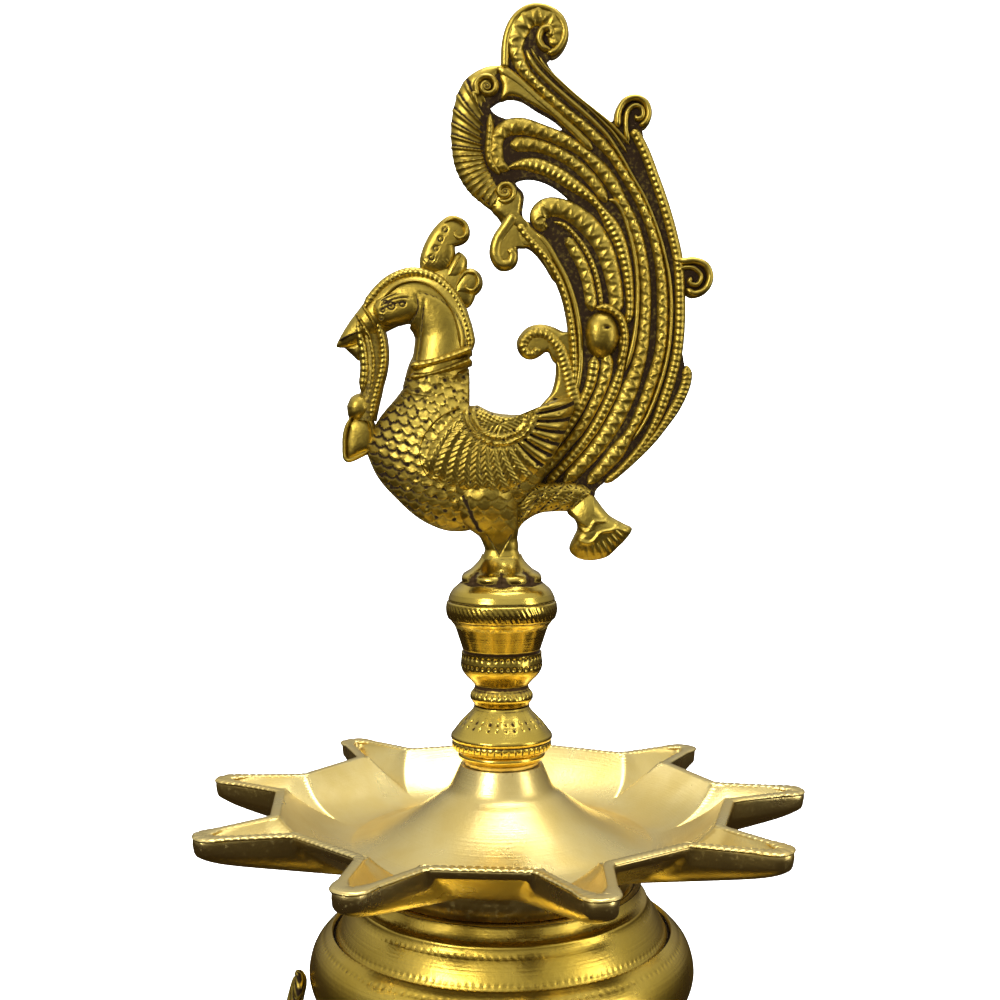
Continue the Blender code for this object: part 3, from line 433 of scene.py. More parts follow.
upper_base, upper_height = node_height("upper_baluster")
upper_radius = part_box("upper_baluster")[1].x / MM
upper_outline = [(neck + 3, 0), (neck + 3, 0), (neck + 3.5, 2), (neck + 3, 4), (neck + 3, 4), (neck, 7),
                 (neck, upper_height * 0.2), (neck + 5, upper_height * 0.45),
                 (upper_radius, upper_height * 0.68), (upper_radius - 4, upper_height * 0.84),
                 (neck + 2, upper_height - 6), (neck + 2, upper_height - 6), (neck + 6, upper_height - 4),
                 (neck + 6, upper_height), (neck + 6, upper_height), (rod_hole, upper_height)]
upper_inside = [(rod_hole, upper_height), (rod_hole, upper_height * 0.88), (13, upper_height * 0.86),
                (20, upper_height * 0.68), (11, upper_height * 0.32), (rod_hole, upper_height * 0.3),
                (rod_hole, 0)]


def upper_carving(angle, radius, height):
    """A hatched band round the shoulder, and punched dots above the neck."""
    inside = np.clip(2.4 - np.abs(height - upper_height * 0.7), 0, 0.4) / 0.4
    hatch = np.clip(np.cos(angle * 80 - height * 1.6), 0, 1) * inside
    lines = groove(height, upper_height * 0.7 - 3.2, 0.4) + groove(height, upper_height * 0.7 + 3.2, 0.4)
    dot = dots(angle, height, upper_height * 0.3, 30, neck, 0.9)
    return -0.35 * hatch - 0.6 * lines - 0.7 * dot


cast_piece("upper_baluster_turned", "column", turned_brass,
           [turned_sheet(upper_outline, upper_inside, upper_base, 0.6, 288, upper_carving)],
           ["upper_baluster"])


# ---------------------------------------------------------------- drum and leaf brackets

# A flanged drum at the column's head carries three cast leaves, screwed to it from inside. Each leaf
# curls out under the capital, stands past its rim and rolls over at the tip; its grooves and edges are
# painted dark, as shade together with patina.

cast_brass = brass("cast_brass_dark_recess", (0.50, 0.375, 0.066), (0.42, 0.30, 0.044),
                   (0.024, 0.012, 0.004), 0.34, 0.75, 0, 0.3)
drum_base, drum_height = node_height("bracket_drum")
drum_radius = 34
flange_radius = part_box("bracket_drum")[1].x / MM
flange_under = drum_height - 5
drum_outline = [(drum_radius - 4, 0), (drum_radius - 4, 0), (drum_radius - 1, 0.6), (drum_radius, 2.4),
                (drum_radius - 1, 4.4), (drum_radius - 1, 4.4), (drum_radius - 1, flange_under - 5),
                (drum_radius - 1, flange_under - 5), (drum_radius, flange_under - 3),
                (drum_radius + 5, flange_under), (drum_radius + 5, flange_under),
                (flange_radius - 1, flange_under), (flange_radius, flange_under + 1),
                (flange_radius, drum_height - 1), (flange_radius - 1, drum_height),
                (flange_radius - 1, drum_height), (rod_hole, drum_height)]
drum_inside = [(rod_hole, drum_height), (rod_hole, drum_height - 12), (26, drum_height - 12), (26, 4),
               (rod_hole, 4), (rod_hole, 0)]


def drum_carving(angle, radius, height):
    """Two rows of punched dots round the drum and notches round the flange's edge."""
    rows = (dots(angle, height, 9, 48, drum_radius, 0.9)
            + dots(angle, height, flange_under - 9, 48, drum_radius, 0.9))
    notch = np.clip(np.cos(angle * 110), 0, 1) ** 2 * (radius > flange_radius - 1.5)
    return -0.8 * rows * (radius < drum_radius + 1) - 0.5 * notch


cast_piece("bracket_drum_turned", "column", turned_brass,
           [turned_sheet(drum_outline, drum_inside, drum_base, 0.8, 330, drum_carving)], ["bracket_drum"])


def leaf_sheet(line, turn, base):
    """A leaf carried along a curved spine in a plane through the lamp's axis: (radius, height, half width,
    half thickness). Its section is a lens with a raised midrib; side veins slant towards the tip, and the
    edge is scalloped at each vein."""
    spine = smooth_line(line, 0.5)
    along = np.gradient(spine[:, :2], axis=0)
    along /= np.linalg.norm(along, axis=1, keepdims=True)
    angle = (np.arange(48) * 2 * math.pi / 48)[None, :]
    run = (np.arange(len(spine)) * 0.5)[:, None]
    across, through = np.cos(angle), np.sin(angle)
    lobes = 1 + 0.1 * np.cos(2 * math.pi * run / 9)
    vein = np.cos(2 * math.pi * (run + 7 * np.abs(across)) / 4.5)
    rib = np.exp(-(across / 0.16) ** 2)
    thick = spine[:, 3:4] * through * (1 + 0.16 * vein * (1 - rib) + 0.35 * rib)
    side = spine[:, 2:3] * across * lobes
    r = spine[:, :1] - along[:, 1:] * thick
    z = spine[:, 1:2] + along[:, :1] * thick + base
    points = np.stack([r * math.cos(turn) - side * math.sin(turn),
                       r * math.sin(turn) + side * math.cos(turn), z], 2)
    # painted shade and patina in the grooves between the veins, and along the leaf's edge
    dark = np.clip(0.55 - 0.45 * vein - 0.6 * rib, 0, 1) + 0.3 * np.exp(-(through / 0.3) ** 2)
    return points, np.clip(dark, 0, 1), False


leaf_root = drum_radius + 0.3
leaf_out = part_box("capital")[1].x / MM
leaf_line = [(leaf_root + 1, 18, 5.8, 14), (leaf_root + 12, 17, 6.2, 13), (leaf_out - 18, 17, 7.5, 10),
             (leaf_out - 4, 18, 8.2, 7), (leaf_out + 5, 27, 8, 4.2), (leaf_out + 7.5, 36, 7.4, 3),
             (leaf_out + 6, drum_height + 3, 6.6, 2.6), (leaf_out + 4.2, drum_height + 11, 5.2, 2.4),
             (leaf_out + 4.4, drum_height + 14.4, 3.4, 1.7), (leaf_out + 5.6, drum_height + 15.6, 1.2, 0.7)]
for number in (1, 2, 3):
    turn = math.radians(190 + 120 * (number - 1))
    cast_piece(f"bracket_leaf_{number}", "column", cast_brass,
               [leaf_sheet(leaf_line, turn, drum_base)], [f"bracket_{number}"])


# ---------------------------------------------------------------- capital

# A wide turned bell under the dish, hollow below. A sharp ledge with a hand-cut line goes round its top,
# and two rows of punch marks sit in the groove above the swelling rim.

capital_base, capital_height = node_height("capital")
capital_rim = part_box("capital")[1].x / MM
capital_top = 61
capital_boss = 16
capital_outline = [(capital_rim - 10, 0), (capital_rim - 10, 0), (capital_rim - 6, 0),
                   (capital_rim - 4, 1.6), (capital_rim - 1.4, 6), (capital_rim, 11.5),
                   (capital_rim - 0.6, 17), (capital_rim - 2.6, 22), (capital_rim - 6.4, 26.4),
                   (capital_rim - 9.2, 28.6), (capital_rim - 9.2, 28.6), (capital_rim - 10.2, 26.4),
                   (capital_rim - 11.6, 28), (capital_rim - 11.6, 28), (capital_rim - 14, 32.2),
                   (capital_top + 2.8, 35.6), (capital_top + 0.8, 38.2), (capital_top, 39.8),
                   (capital_top - 0.2, 40.8), (capital_top - 1.4, 41.6), (capital_top - 3.4, 43),
                   (55, capital_height), (55, capital_height), (rod_hole, capital_height)]
capital_inside = [(rod_hole, capital_height), (rod_hole, 0), (capital_boss, 0),
                  (capital_boss, capital_height - 9), (capital_top - 8, capital_height - 9),
                  (capital_top - 4, capital_height - 12), (capital_rim - 18, 24), (capital_rim - 12, 18)]


def capital_carving(angle, radius, height):
    """Punch marks in and below the groove, and short cuts along the ledge."""
    low_row = dots(angle, height, 25.4, 150, capital_rim - 5, 0.5)
    high_row = dots(angle, height, 29.2, 150, capital_rim - 12, 0.55)
    hand = np.clip(0.5 + 0.7 * np.sin(angle * 3 + 1), 0, 1)
    cuts = np.clip(np.cos(angle * 130 + height * 2), 0, 1) ** 2 * groove(height, 37.6, 0.5) * hand
    return -0.4 * (low_row + high_row) * (radius > 60) - 0.4 * cuts * (radius > 58)


cast_piece("capital_turned", "dish", turned_brass,
           [turned_sheet(capital_outline, capital_inside, capital_base, 0.6, 540, capital_carving)],
           ["capital"])


# ---------------------------------------------------------------- oil dish

# One casting: a shallow bowl with a cone in the middle, nine straight edges and nine open V spouts for
# wicks. It is filed to a satin inside and its flat rim is chiselled all round; its underside is painted
# darker, as shade.

satin_brass = brass("satin_brass", (0.84, 0.68, 0.28), (0.74, 0.56, 0.18), (0.09, 0.05, 0.015), 0.25, 0.3,
                    0.3, 0.25)
spouts = 9
pitch = 2 * math.pi / spouts
spout_turn = math.radians(-4.5)
spout_tip = 130.0
tip_half_width = 6.3
flat_distance = 95.0
rim_width = 4.2
floor_radius = 63.0
dish_depth = 17.6
dish_low, dish_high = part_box("dish")
rim_plane = dish_low.z / MM + 33.5
cone_rise = dish_high.z / MM - rim_plane
cone_radius = 17.2
dish_foot = 54
finial_hole = 4.3


def rim_reach(angle, inset):
    """How far the outline reaches at each angle from a spout, set in by a width: a straight edge between
    spouts, and the tapering sides and blunt round end of each spout."""
    off = (angle + pitch / 2) % pitch - pitch / 2
    flat = (flat_distance - inset) / np.cos(pitch / 2 - np.abs(off))
    root = flat_distance / math.cos(pitch / 2 - math.radians(8.5))
    side_end = spout_tip - 5
    taper = (root * math.sin(math.radians(8.5)) - tip_half_width) / (side_end - root)
    half = tip_half_width - inset * 0.94
    side = (half + taper * side_end) / (np.abs(np.sin(off)) + taper * np.cos(off))
    tip = spout_tip - inset * 1.6
    end = tip - 0.075 * (tip * np.sin(off)) ** 2
    return np.maximum(flat, np.minimum(side, end)), off, taper, side_end, half


near = np.linspace(-9, 9, 40, endpoint=False)
between = np.linspace(9, 31, 18, endpoint=False)
one_spout = np.radians(np.concatenate([near, between]))
dish_angle = np.concatenate([one_spout + k * pitch for k in range(spouts)])
outer_reach, off_axis, taper, side_end, outer_half = rim_reach(dish_angle, 0)
inner_reach, _, _, _, inner_half = rim_reach(dish_angle, rim_width)
flat_inner = (flat_distance - rim_width) / np.cos(pitch / 2 - np.abs(off_axis))


def inside_height(r):
    """Height inside the dish: a dished wall up to the straight edges, cut by a V channel along each spout
    whose keel climbs to the tip."""
    rise = np.clip((r - floor_radius) / (flat_inner - floor_radius), 0, 1)
    bowl = -dish_depth * (1 - rise**1.7)
    out = r * np.cos(off_axis)
    across = np.abs(r * np.sin(off_axis))
    half = np.clip(inner_half + taper * (side_end - out), 1.2, 10.2)
    keel = -dish_depth + 0.4 + (out - floor_radius) * 0.2
    channel = keel * np.clip(1 - across / half, 0, 1) ** 0.85
    beyond = np.where(out > 88, 0.0, bowl)
    near_rim = np.clip((r - inner_reach + 2.5) / 2.5, 0, 1)
    channel = channel * (1 - near_rim**2 * (out > 112))
    return np.minimum(np.minimum(beyond, bowl), np.where(across < half, channel, 0))


def under_height(r):
    """Height of the underside: a bowl below the floor, and a boat-shaped keel below each spout."""
    wall = dish_depth + 3.4
    rise = np.clip((r - floor_radius) / (flat_distance / np.cos(pitch / 2 - np.abs(off_axis))
                                         - floor_radius), 0, 1)
    bowl = -wall + (wall - 3) * rise**1.5
    out = r * np.cos(off_axis)
    across = np.abs(r * np.sin(off_axis))
    width = outer_half + taper * np.clip(side_end - out, 0, 60) + 0.6
    back = np.clip(spout_tip - out, 0, 90)
    keel = 6.5 + 3.2 * (1 - np.exp(-back / 5)) + 0.2 * back
    hull = -2.2 - (keel - 2.2) * np.sqrt(np.clip(1 - (across / width) ** 2.4, 0, 1))
    return np.maximum(np.minimum(bowl, hull), -wall - 3)


dish_rows, dish_dark = [], []


def dish_ring(r, height, dark):
    """Adds one ring of the dish: a radius and a height for each angle."""
    r = np.broadcast_to(np.asarray(r, float), dish_angle.shape)
    z = np.broadcast_to(np.asarray(height, float), dish_angle.shape) + rim_plane
    a = dish_angle + spout_turn - math.pi / 2 + pitch / 2
    dish_rows.append(np.stack([r * np.cos(a), r * np.sin(a), z], axis=1))
    dish_dark.append(np.broadcast_to(np.asarray(dark, float), dish_angle.shape))


cone_line = smooth_line([(cone_radius, cone_rise), (20.2, 8), (22.7, 3.8), (26.5, 1), (30.7, -2.1),
                         (37, -6.5), (43.3, -10.2), (49.5, -13.2), (56, -16), (floor_radius, -dish_depth)],
                        1.1)
# painted shade at the hole's edge and round the cone's top, where the finial's skirt sits on it
dish_ring(finial_hole, cone_rise, 0.6)
for r, z in cone_line:
    dish_ring(r, z, 0.35 * math.exp(-((r - cone_radius) / 1.2) ** 2))
for share in np.linspace(0, 1, 58)[1:]:
    r = floor_radius + (inner_reach - floor_radius) * share
    z = inside_height(r)
    r_out = r * np.cos(off_axis)
    channel_mid = np.exp(-(r * np.sin(off_axis) / 1.6) ** 2) * (r_out > floor_radius + 10)
    dish_ring(r, z, 0.3 * channel_mid)
for share in (0.06, 0.35, 0.65, 0.94):
    dish_ring(inner_reach + (outer_reach - inner_reach) * share, -0.35, 0.3)
dish_ring(outer_reach, -0.9, 0.1)
edge_drop = 2.4 + 3.8 * np.clip((outer_reach - 100) / 28, 0, 1)
dish_ring(outer_reach + 0.1, -edge_drop * 0.5, 0.2)
dish_ring(outer_reach - 0.5, -edge_drop, 0.15)
# painted shade: the underside grows darker towards the foot
for share in np.linspace(0.985, 0.04, 52):
    r = dish_foot + (outer_reach - dish_foot) * share
    dish_ring(r, under_height(r), 0.08 + 0.12 * (1 - share))
wall_under = dish_depth + 3.4
for r, z in ((dish_foot, -wall_under - 3), (dish_foot + 0.3, -wall_under - 6), (dish_foot, -33.1),
             (dish_foot - 0.4, -33.5), (dish_foot - 9, -33.5), (dish_foot - 9, -wall_under),
             (capital_boss, -wall_under), (capital_boss, -33.5), (rod_hole, -33.5), (rod_hole, -13.5),
             (finial_hole, -13.5)):
    dish_ring(r, z, 0.2)
dish_points = np.stack(dish_rows)
dish_sheet = (dish_points, np.stack(dish_dark), True)

cast_piece("dish_bowl", "dish", satin_brass, [dish_sheet], ["dish"])


def closed_line(points, spacing):
    """A closed line of straight runs, sampled at even steps."""
    p = np.vstack([points, points[:1]])
    length = np.concatenate([[0], np.cumsum(np.linalg.norm(np.diff(p, axis=0), axis=1))])
    even = np.linspace(0, length[-1], int(length[-1] / spacing), endpoint=False)
    return np.stack([np.interp(even, length, column) for column in p.T], axis=1), even


def rim_sheet():
    """The rim's flat edge: a low rounded strip carried round the outline, with slanting chisel cuts across
    it and a little wander, as a hand leaves it."""
    a = dish_angle + spout_turn - math.pi / 2 + pitch / 2
    middle = (outer_reach + inner_reach) / 2
    mid_line = np.stack([middle * np.cos(a), middle * np.sin(a)], axis=1)
    line, run = closed_line(mid_line, 0.45)
    out = np.roll(line, -2, 0) - np.roll(line, 2, 0)
    out = np.stack([out[:, 1], -out[:, 0]], axis=1) / np.linalg.norm(out, axis=1)[:, None]
    far = np.linalg.norm(line, axis=1)
    half = 2.2 + 1.5 * np.clip((far - 118) / 6, 0, 1)
    turn = (np.arange(12) * 2 * math.pi / 12)[None, :]
    side = np.sign(np.cos(turn)) * np.abs(np.cos(turn)) ** 0.6
    up = np.sign(np.sin(turn)) * np.abs(np.sin(turn)) ** 0.6
    wander = 0.5 * np.sin(run / 17.0) + 0.5 * np.sin(run / 7.3 + 1)
    beat = (run[:, None] + 1.1 * side) / 2.9 + wander[:, None] * 0.35
    cut = np.clip(np.cos(2 * math.pi * beat), 0.1, 1) ** 2 * (0.55 + 0.45 * np.sin(run / 23.0 + 2))[:, None]
    offset = half[:, None] * side
    lift = -0.5 + 0.85 * up - 0.5 * cut * (up > 0.3)
    x = line[:, :1] + out[:, :1] * offset
    y = line[:, 1:] + out[:, 1:] * offset
    # painted shade and patina in the chisel cuts, and painted shade under the strip
    dark = np.clip(0.6 * cut * (up > 0.3) + 0.2 * (up < 0), 0, 1)
    return np.stack([x, y, lift + rim_plane], axis=2), dark, True


cast_piece("dish_rim_edge", "dish", satin_brass, [rim_sheet()])


# ---------------------------------------------------------------- finial turnings

# Two solid turnings screw on above the dish's cone: a skirt with a bright bead, and a waisted knob whose
# shoulder is cut into lobes. Lines, punch marks and a hatched band are cut in by hand and painted dark, as
# shade together with patina.

skirt_base, skirt_height = node_height("finial_foot")
skirt_outline = [(16.2, 0), (16.2, 0), (17.2, 0.5), (18.2, 1.9), (18.0, 3.2), (17.2, 4), (17.2, 4),
                 (19.2, 4.4), (20.6, 5.6), (20.9, 7.4), (20.5, 8.6), (20.5, 8.6), (21.2, 9.3), (21.2, 10.6),
                 (20.6, 11.4), (20.6, 11.4), (18.9, 13.6), (16.9, 16), (14.4, 18.6), (12.4, 20.8),
                 (11.3, skirt_height), (11.3, skirt_height), (finial_hole, skirt_height)]


def skirt_carving(angle, radius, height):
    """Notches round the bead, a soft row of facets on the cone and two rows of triangular punch marks."""
    notch = np.clip(np.cos(angle * 44), 0, 1) ** 1.5 * groove(height, 6.6, 1.5)
    facet = 0.25 * np.cos(angle * 12) * groove(height, 17, 3)
    marks = dots(angle, height, 17.6, 30, 15.4, 0.5) + dots(angle, height, 15.4, 30, 17.4, 0.5)
    return -0.5 * notch + facet - 0.6 * marks


cast_piece("finial_skirt", "finial", polished_brass,
           [turned_sheet(skirt_outline, straight_bore(finial_hole, skirt_height), skirt_base, 0.4, 320,
                         skirt_carving)], ["finial_foot"])

knob_base, knob_height = node_height("finial_knob")
knob_outline = [(11.3, 0), (11.3, 0), (12.2, 1.4), (13.2, 3), (13.1, 4.8), (12.2, 6), (11.5, 7.2),
                (11.3, 8.4), (11.3, 8.4), (13, 10.4), (15.2, 12.6), (16.6, 14.7), (17.2, 17), (17, 19.4),
                (16.9, 21.2), (16.9, 22.4), (16.3, 22.9), (16.3, 22.9), (16.9, 25), (17.9, 28), (18.9, 31),
                (19.9, 33.5), (21.4, 35.3), (21.4, 35.3), (22.6, 36.6), (23.4, 39.4), (23.2, 42.6),
                (22.3, 45), (21.6, 46.8), (21.6, 46.8), (20.4, 48.6), (18.4, 50.4), (17.2, 51.6),
                (17.2, 51.6), (17.3, 53.8), (16.2, 55.2), (13.9, 56.5), (11.3, 58.6), (9.3, 61),
                (8.4, knob_height), (8.4, knob_height), (finial_hole, knob_height)]


def knob_carving(angle, radius, height):
    """From the bottom: vertical nicks on the small ring, two rows of dots, a hatched band between two
    lines, and lobes with dark nicks between them on the shoulder."""
    nicks = np.clip(np.cos(angle * 30), 0, 1) ** 2 * groove(height, 5.2, 0.8)
    rows = dots(angle, height, 17.2, 40, 17, 0.6) + dots(angle, height, 20.8, 40, 17, 0.6)
    inside = np.clip((height - 36.6) / 0.5, 0, 1) * np.clip((43 - height) / 0.5, 0, 1)
    hatch = np.clip(np.cos(angle * 64 + height * 1.5), 0, 1) * inside
    lines = groove(height, 35.7, 0.35) + groove(height, 43.9, 0.35) + groove(height, 22.9, 0.4)
    lobes = np.abs(np.sin(angle * 4)) ** 0.6
    shoulder = np.clip((height - 50.6) / 1.6, 0, 1) * np.clip((58 - height) / 4, 0, 1)
    return -0.5 * nicks - 0.6 * rows - 0.22 * hatch - 0.55 * lines - 1.3 * (1 - lobes) * shoulder


cast_piece("finial_knob_turned", "finial", polished_brass,
           [turned_sheet(knob_outline, straight_bore(finial_hole, knob_height), knob_base, 0.4, 320,
                         knob_carving)], ["finial_knob"])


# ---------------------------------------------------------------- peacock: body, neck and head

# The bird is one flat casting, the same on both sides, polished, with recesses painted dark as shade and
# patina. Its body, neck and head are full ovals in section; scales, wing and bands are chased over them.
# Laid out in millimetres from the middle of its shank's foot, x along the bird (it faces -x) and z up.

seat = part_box("peacock")[0].z / MM + 3.0


def oval_sheet(stations, spacing=0.6, facets=72, chasing=None, bluff=1.0):
    """An oval carried along a smooth line in the bird's mid plane: (x, z, half width, half thickness) each;
    its half thickness goes with sin(angle)**bluff, so that a small power squares it. chasing(x, z) gives
    (how far it stands out, darkness), and fades towards the silhouette."""
    line = smooth_line(stations, spacing)
    along = np.gradient(line[:, :2], axis=0)
    along /= np.maximum(np.linalg.norm(along, axis=1, keepdims=True), 1e-9)
    angle = (np.arange(facets) * 2 * math.pi / facets)[None, :]
    half, thick = line[:, 2:3], line[:, 3:4]
    x = line[:, :1] - along[:, 1:] * half * np.cos(angle)
    z = line[:, 1:2] + along[:, :1] * half * np.cos(angle)
    stand, dark = chasing(x, z) if chasing else (0.0, 0.0)
    depth = thick * np.sign(np.sin(angle)) * np.abs(np.sin(angle)) ** bluff + stand * np.sin(angle)
    x = x - along[:, 1:] * stand * np.cos(angle) * 0.4
    z = z + along[:, :1] * stand * np.cos(angle) * 0.4
    points = np.stack([x, depth, z + seat], axis=2)
    return points, np.broadcast_to(dark, points.shape[:2]), False


def pad_sheet(outline, half_thick, middle, rows=36, spacing=0.8, edge=2.4, chasing=None, face=0.0,
              high_face=None):
    """A plump pad with the given outline, the same on both faces: rings shrink from the outline to a middle
    point on each face while the thickness rises as (1 - share**edge)**0.5. chasing is as for the ovals;
    face is how far from the mid plane the pad's edge stands, and high_face the same at the outline's
    top."""
    ring = smooth_line(list(outline) + [outline[0]], spacing)[:-1]
    turn = np.linspace(-math.pi / 2, math.pi / 2, 2 * rows + 1)[1:-1]
    share = np.cos(turn)[:, None] ** 0.8
    x = middle[0] + (ring[None, :, 0] - middle[0]) * share
    z = middle[1] + (ring[None, :, 1] - middle[1]) * share
    side = np.sign(turn)[:, None]
    rise = np.clip(1 - share**edge, 0, 1) ** 0.5
    stand, dark = chasing(x, z) if chasing else (0.0, 0.0)
    fade = np.clip(rise * 3, 0, 1)
    if high_face is not None:
        up = (ring[:, 1] - ring[:, 1].min()) / np.ptp(ring[:, 1])
        face = face + (high_face - face) * np.clip(up * 2 - 0.6, 0, 1)
    depth = side * (face + (half_thick - face) * rise + stand * fade)
    points = np.stack([x, np.broadcast_to(depth, x.shape), z + seat], axis=2)
    return points, np.clip(np.broadcast_to(dark, x.shape) * fade, 0, 1), False


def feather_scales(x, z, across=5.0, down=3.7, rise=1.2):
    """Scales that hang down in staggered rows, each a disc whose upper part lies under the row above: it
    stands rise * (0.2 + 0.8 * (distance / radius)**2), and the strip just below the disc above it is
    painted dark, as the shadow that the disc above casts."""
    radius = 1.42 * down
    row = np.floor(z / down)
    far = []
    for above in (1, 2):
        level = (row + above) * down
        shift = 0.5 * ((row + above) % 2)
        off = (x / across + shift - np.round(x / across + shift)) * across * 1.5
        far.append(np.hypot(off, z - level) / radius)
    under = far[1] > 1
    tilt = np.where(under, far[0], far[1])
    stand = rise * (0.2 + 0.8 * np.clip(tilt, 0, 1.1) ** 2)
    # painted shadow: the strip just outside each upper scale's lower edge is darkened
    dark = np.clip(1.3 - (far[1] - 1) / 0.36, 0, 1) * under
    return stand, dark


def breast_chasing(x, z):
    """Scales turned with the breast's slope, whose painted shadows are darkest at the front, and casting
    pits where the wing begins."""
    lean = -0.25
    stand, dark = feather_scales(x * math.cos(lean) + z * math.sin(lean),
                                 z * math.cos(lean) - x * math.sin(lean))
    pit = np.clip(np.sin(x * 0.83 + 2) * np.sin(z * 0.71 + 0.6 * np.sin(x * 0.5)) * 3 - 2.2, 0, 1)
    # painted shade: the scales' shadows are made stronger towards the front
    front = np.clip(1.2 - (x + 56) / 45, 0.5, 1)
    return stand - 0.8 * pit, np.clip(dark * front + pit, 0, 1)


body_outline = [(-38, 74), (-44, 66), (-52, 56), (-56.5, 45), (-54.5, 37), (-50.5, 30), (-44, 23),
                (-37, 16.5), (-30, 12.2), (-22, 9.6), (-13, 10), (-6, 14), (4, 18), (12, 23), (17, 30),
                (21, 38), (25, 47), (28, 56), (29, 64), (24, 67), (20, 63.5), (14, 59.6), (6.9, 57.6),
                (-4.8, 58.2), (-12, 60.5), (-16, 65), (-15.6, 72), (-14, 78), (-26, 80)]
neck_line = [(-29, 66, 12.6, 13.6), (-27.6, 74, 12.6, 13), (-25.8, 80, 12, 12.2), (-24.8, 86, 12, 11.2),
             (-24.4, 92, 12.2, 10.4), (-26.5, 99, 12.6, 10.2), (-31, 104.6, 12.6, 9.8),
             (-37, 107, 11.6, 9.4), (-44, 105.6, 10.2, 8.8), (-50, 101.6, 8.6, 7.6), (-55.5, 97, 7.2, 6.4),
             (-60, 93.4, 5.8, 5.2), (-64.5, 90, 3.8, 3.8), (-68, 87.8, 1.6, 1.8), (-69.3, 87, 0.4, 0.6)]


def neck_chasing(x, z):
    """A long crease from the cheek down the front of the neck, a line inside the ridge on its back, and
    scales below the necklace."""
    scales, under = breast_chasing(x, z)
    low = np.clip((75.5 - z) / 1.5, 0, 1)
    front = np.exp(-((x + 33.5 - 0.12 * (z - 92)) / 0.55) ** 2) * np.clip((108 - z) / 6, 0, 1) * (z > 80)
    back = np.exp(-((np.hypot(x + 36, z - 88) - 21) / 0.5) ** 2) * (z > 82) * (x > -34)
    cheek = np.exp(-((np.hypot(x + 44, z - 104) - 9.4) / 0.6) ** 2) * (x > -42) * (z < 108)
    cut = np.clip(front + back + cheek, 0, 1)
    return -0.55 * cut + low * scales, np.clip(0.8 * cut + low * under, 0, 1)


def thigh_chasing(x, z):
    """Rows of scallops down the thigh, an engraved V above the shank, and a dark seam down its front
    edge."""
    scales, under = feather_scales(x + 1, z, 6.0, 4.2, 0.7)
    high = np.clip((z - 8.5) / 2, 0, 1)
    vee = np.exp(-((z - 0.4 - 1.6 * np.abs(x + 1)) / 0.6) ** 2) * (z < 9)
    seam = np.exp(-((x + 16.5 - 0.45 * (27 - z)) / 0.9) ** 2) * (z > 10)
    return scales * high - 0.6 * vee - 0.6 * seam, np.clip(0.45 * under * high + 0.9 * vee + seam, 0, 1)


shank_line = [(-9, 33, 14, 12), (-8.6, 28, 15, 18.6), (-6.4, 22, 13.6, 18.6), (-4, 17, 12, 16),
              (-1.6, 11, 9.2, 11.4), (-0.6, 6, 7.5, 8.2), (0, 3, 7.1, 7.4), (0, 1.8, 7.0, 7.2),
              (0, -0.6, 7.9, 7.9), (0, -2.4, 8.4, 8.4)]

bird_core = [pad_sheet(body_outline, 18.5, (-14, 40), 70, 0.6, 2.2, breast_chasing),
             oval_sheet(neck_line, 0.6, 110, neck_chasing),
             oval_sheet(shank_line, 0.4, 180, thigh_chasing, 0.55)]


def rib_sheet(line, half_width, half_thick, pattern="", taper=(4, 4), narrow=1.0, darker=0.0, spacing=0.5,
              facets=16):
    """A ridge that shows on both faces of the casting: a round-topped section carried along a smooth line
    in the mid plane, narrowing to a share of its width. Its top is chased with beads, a zigzag between
    punched triangles, or cross cuts, whose hollows are painted darker, and its foot is painted dark as
    shade."""
    middle = smooth_line(line, spacing)
    along = np.gradient(middle[:, :2], axis=0)
    along /= np.maximum(np.linalg.norm(along, axis=1, keepdims=True), 1e-9)
    count = len(middle)
    run = (np.arange(count) * spacing)[:, None]
    end = np.sqrt(np.clip(run / max(taper[0], 0.1), 0, 1)
                  * np.clip((run[-1] - run) / max(taper[1], 0.1), 0, 1))
    end = 0.12 + 0.88 * end
    angle = (np.arange(facets) * 2 * math.pi / facets)[None, :]
    across, up = np.cos(angle), np.abs(np.sin(angle))
    wide = np.reshape(half_width, (-1, 1)) * end * (1 - (1 - narrow) * run / run[-1])
    top = np.clip((up - 0.35) / 0.3, 0, 1)
    wander = 0.4 * np.sin(run / 9.1) + 0.25 * np.sin(run / 4.3 + 1)
    if pattern == "zigzag":
        path = 0.62 * (np.abs(((run + wander) / 5.4) % 1 * 2 - 1) * 2 - 1)
        ridge = np.exp(-((across - path) / 0.3) ** 2)
        cut, shade = -0.75 * (1 - ridge) + 0.15, 0.26 * (1 - ridge)
    elif pattern == "beads":
        beat = 0.5 + 0.5 * np.cos(2 * math.pi * (run + wander + 0.5 * across**2) / 2.6)
        bead = np.clip(beat * 1.8, 0, 1) * np.exp(-(across / 0.8) ** 2)
        cut, shade = -0.5 * (1 - bead) + 0.1, 0.24 * (1 - bead)
    elif pattern == "cuts":
        beat = np.clip(np.cos(2 * math.pi * (run + 0.6 * across) / 2.1), 0, 1) ** 2
        cut, shade = -0.55 * beat, 0.5 * beat
    else:
        cut, shade = 0.0, 0.0
    thick = half_thick - 1.3 * (1 - end)
    depth = np.sign(np.sin(angle)) * (thick * up ** 0.5 + cut * top * end)
    x = middle[:, :1] - along[:, 1:] * wide * across
    z = middle[:, 1:2] + along[:, :1] * wide * across + seat
    points = np.stack([x, depth * np.ones_like(x), z], axis=2)
    # painted shade at the rib's foot, where it meets the face it stands on
    foot = np.clip(1 - up / 0.36, 0, 1)
    dark = np.clip(foot + shade * top * np.ones_like(x) + darker, 0, 1)
    return points, dark, False


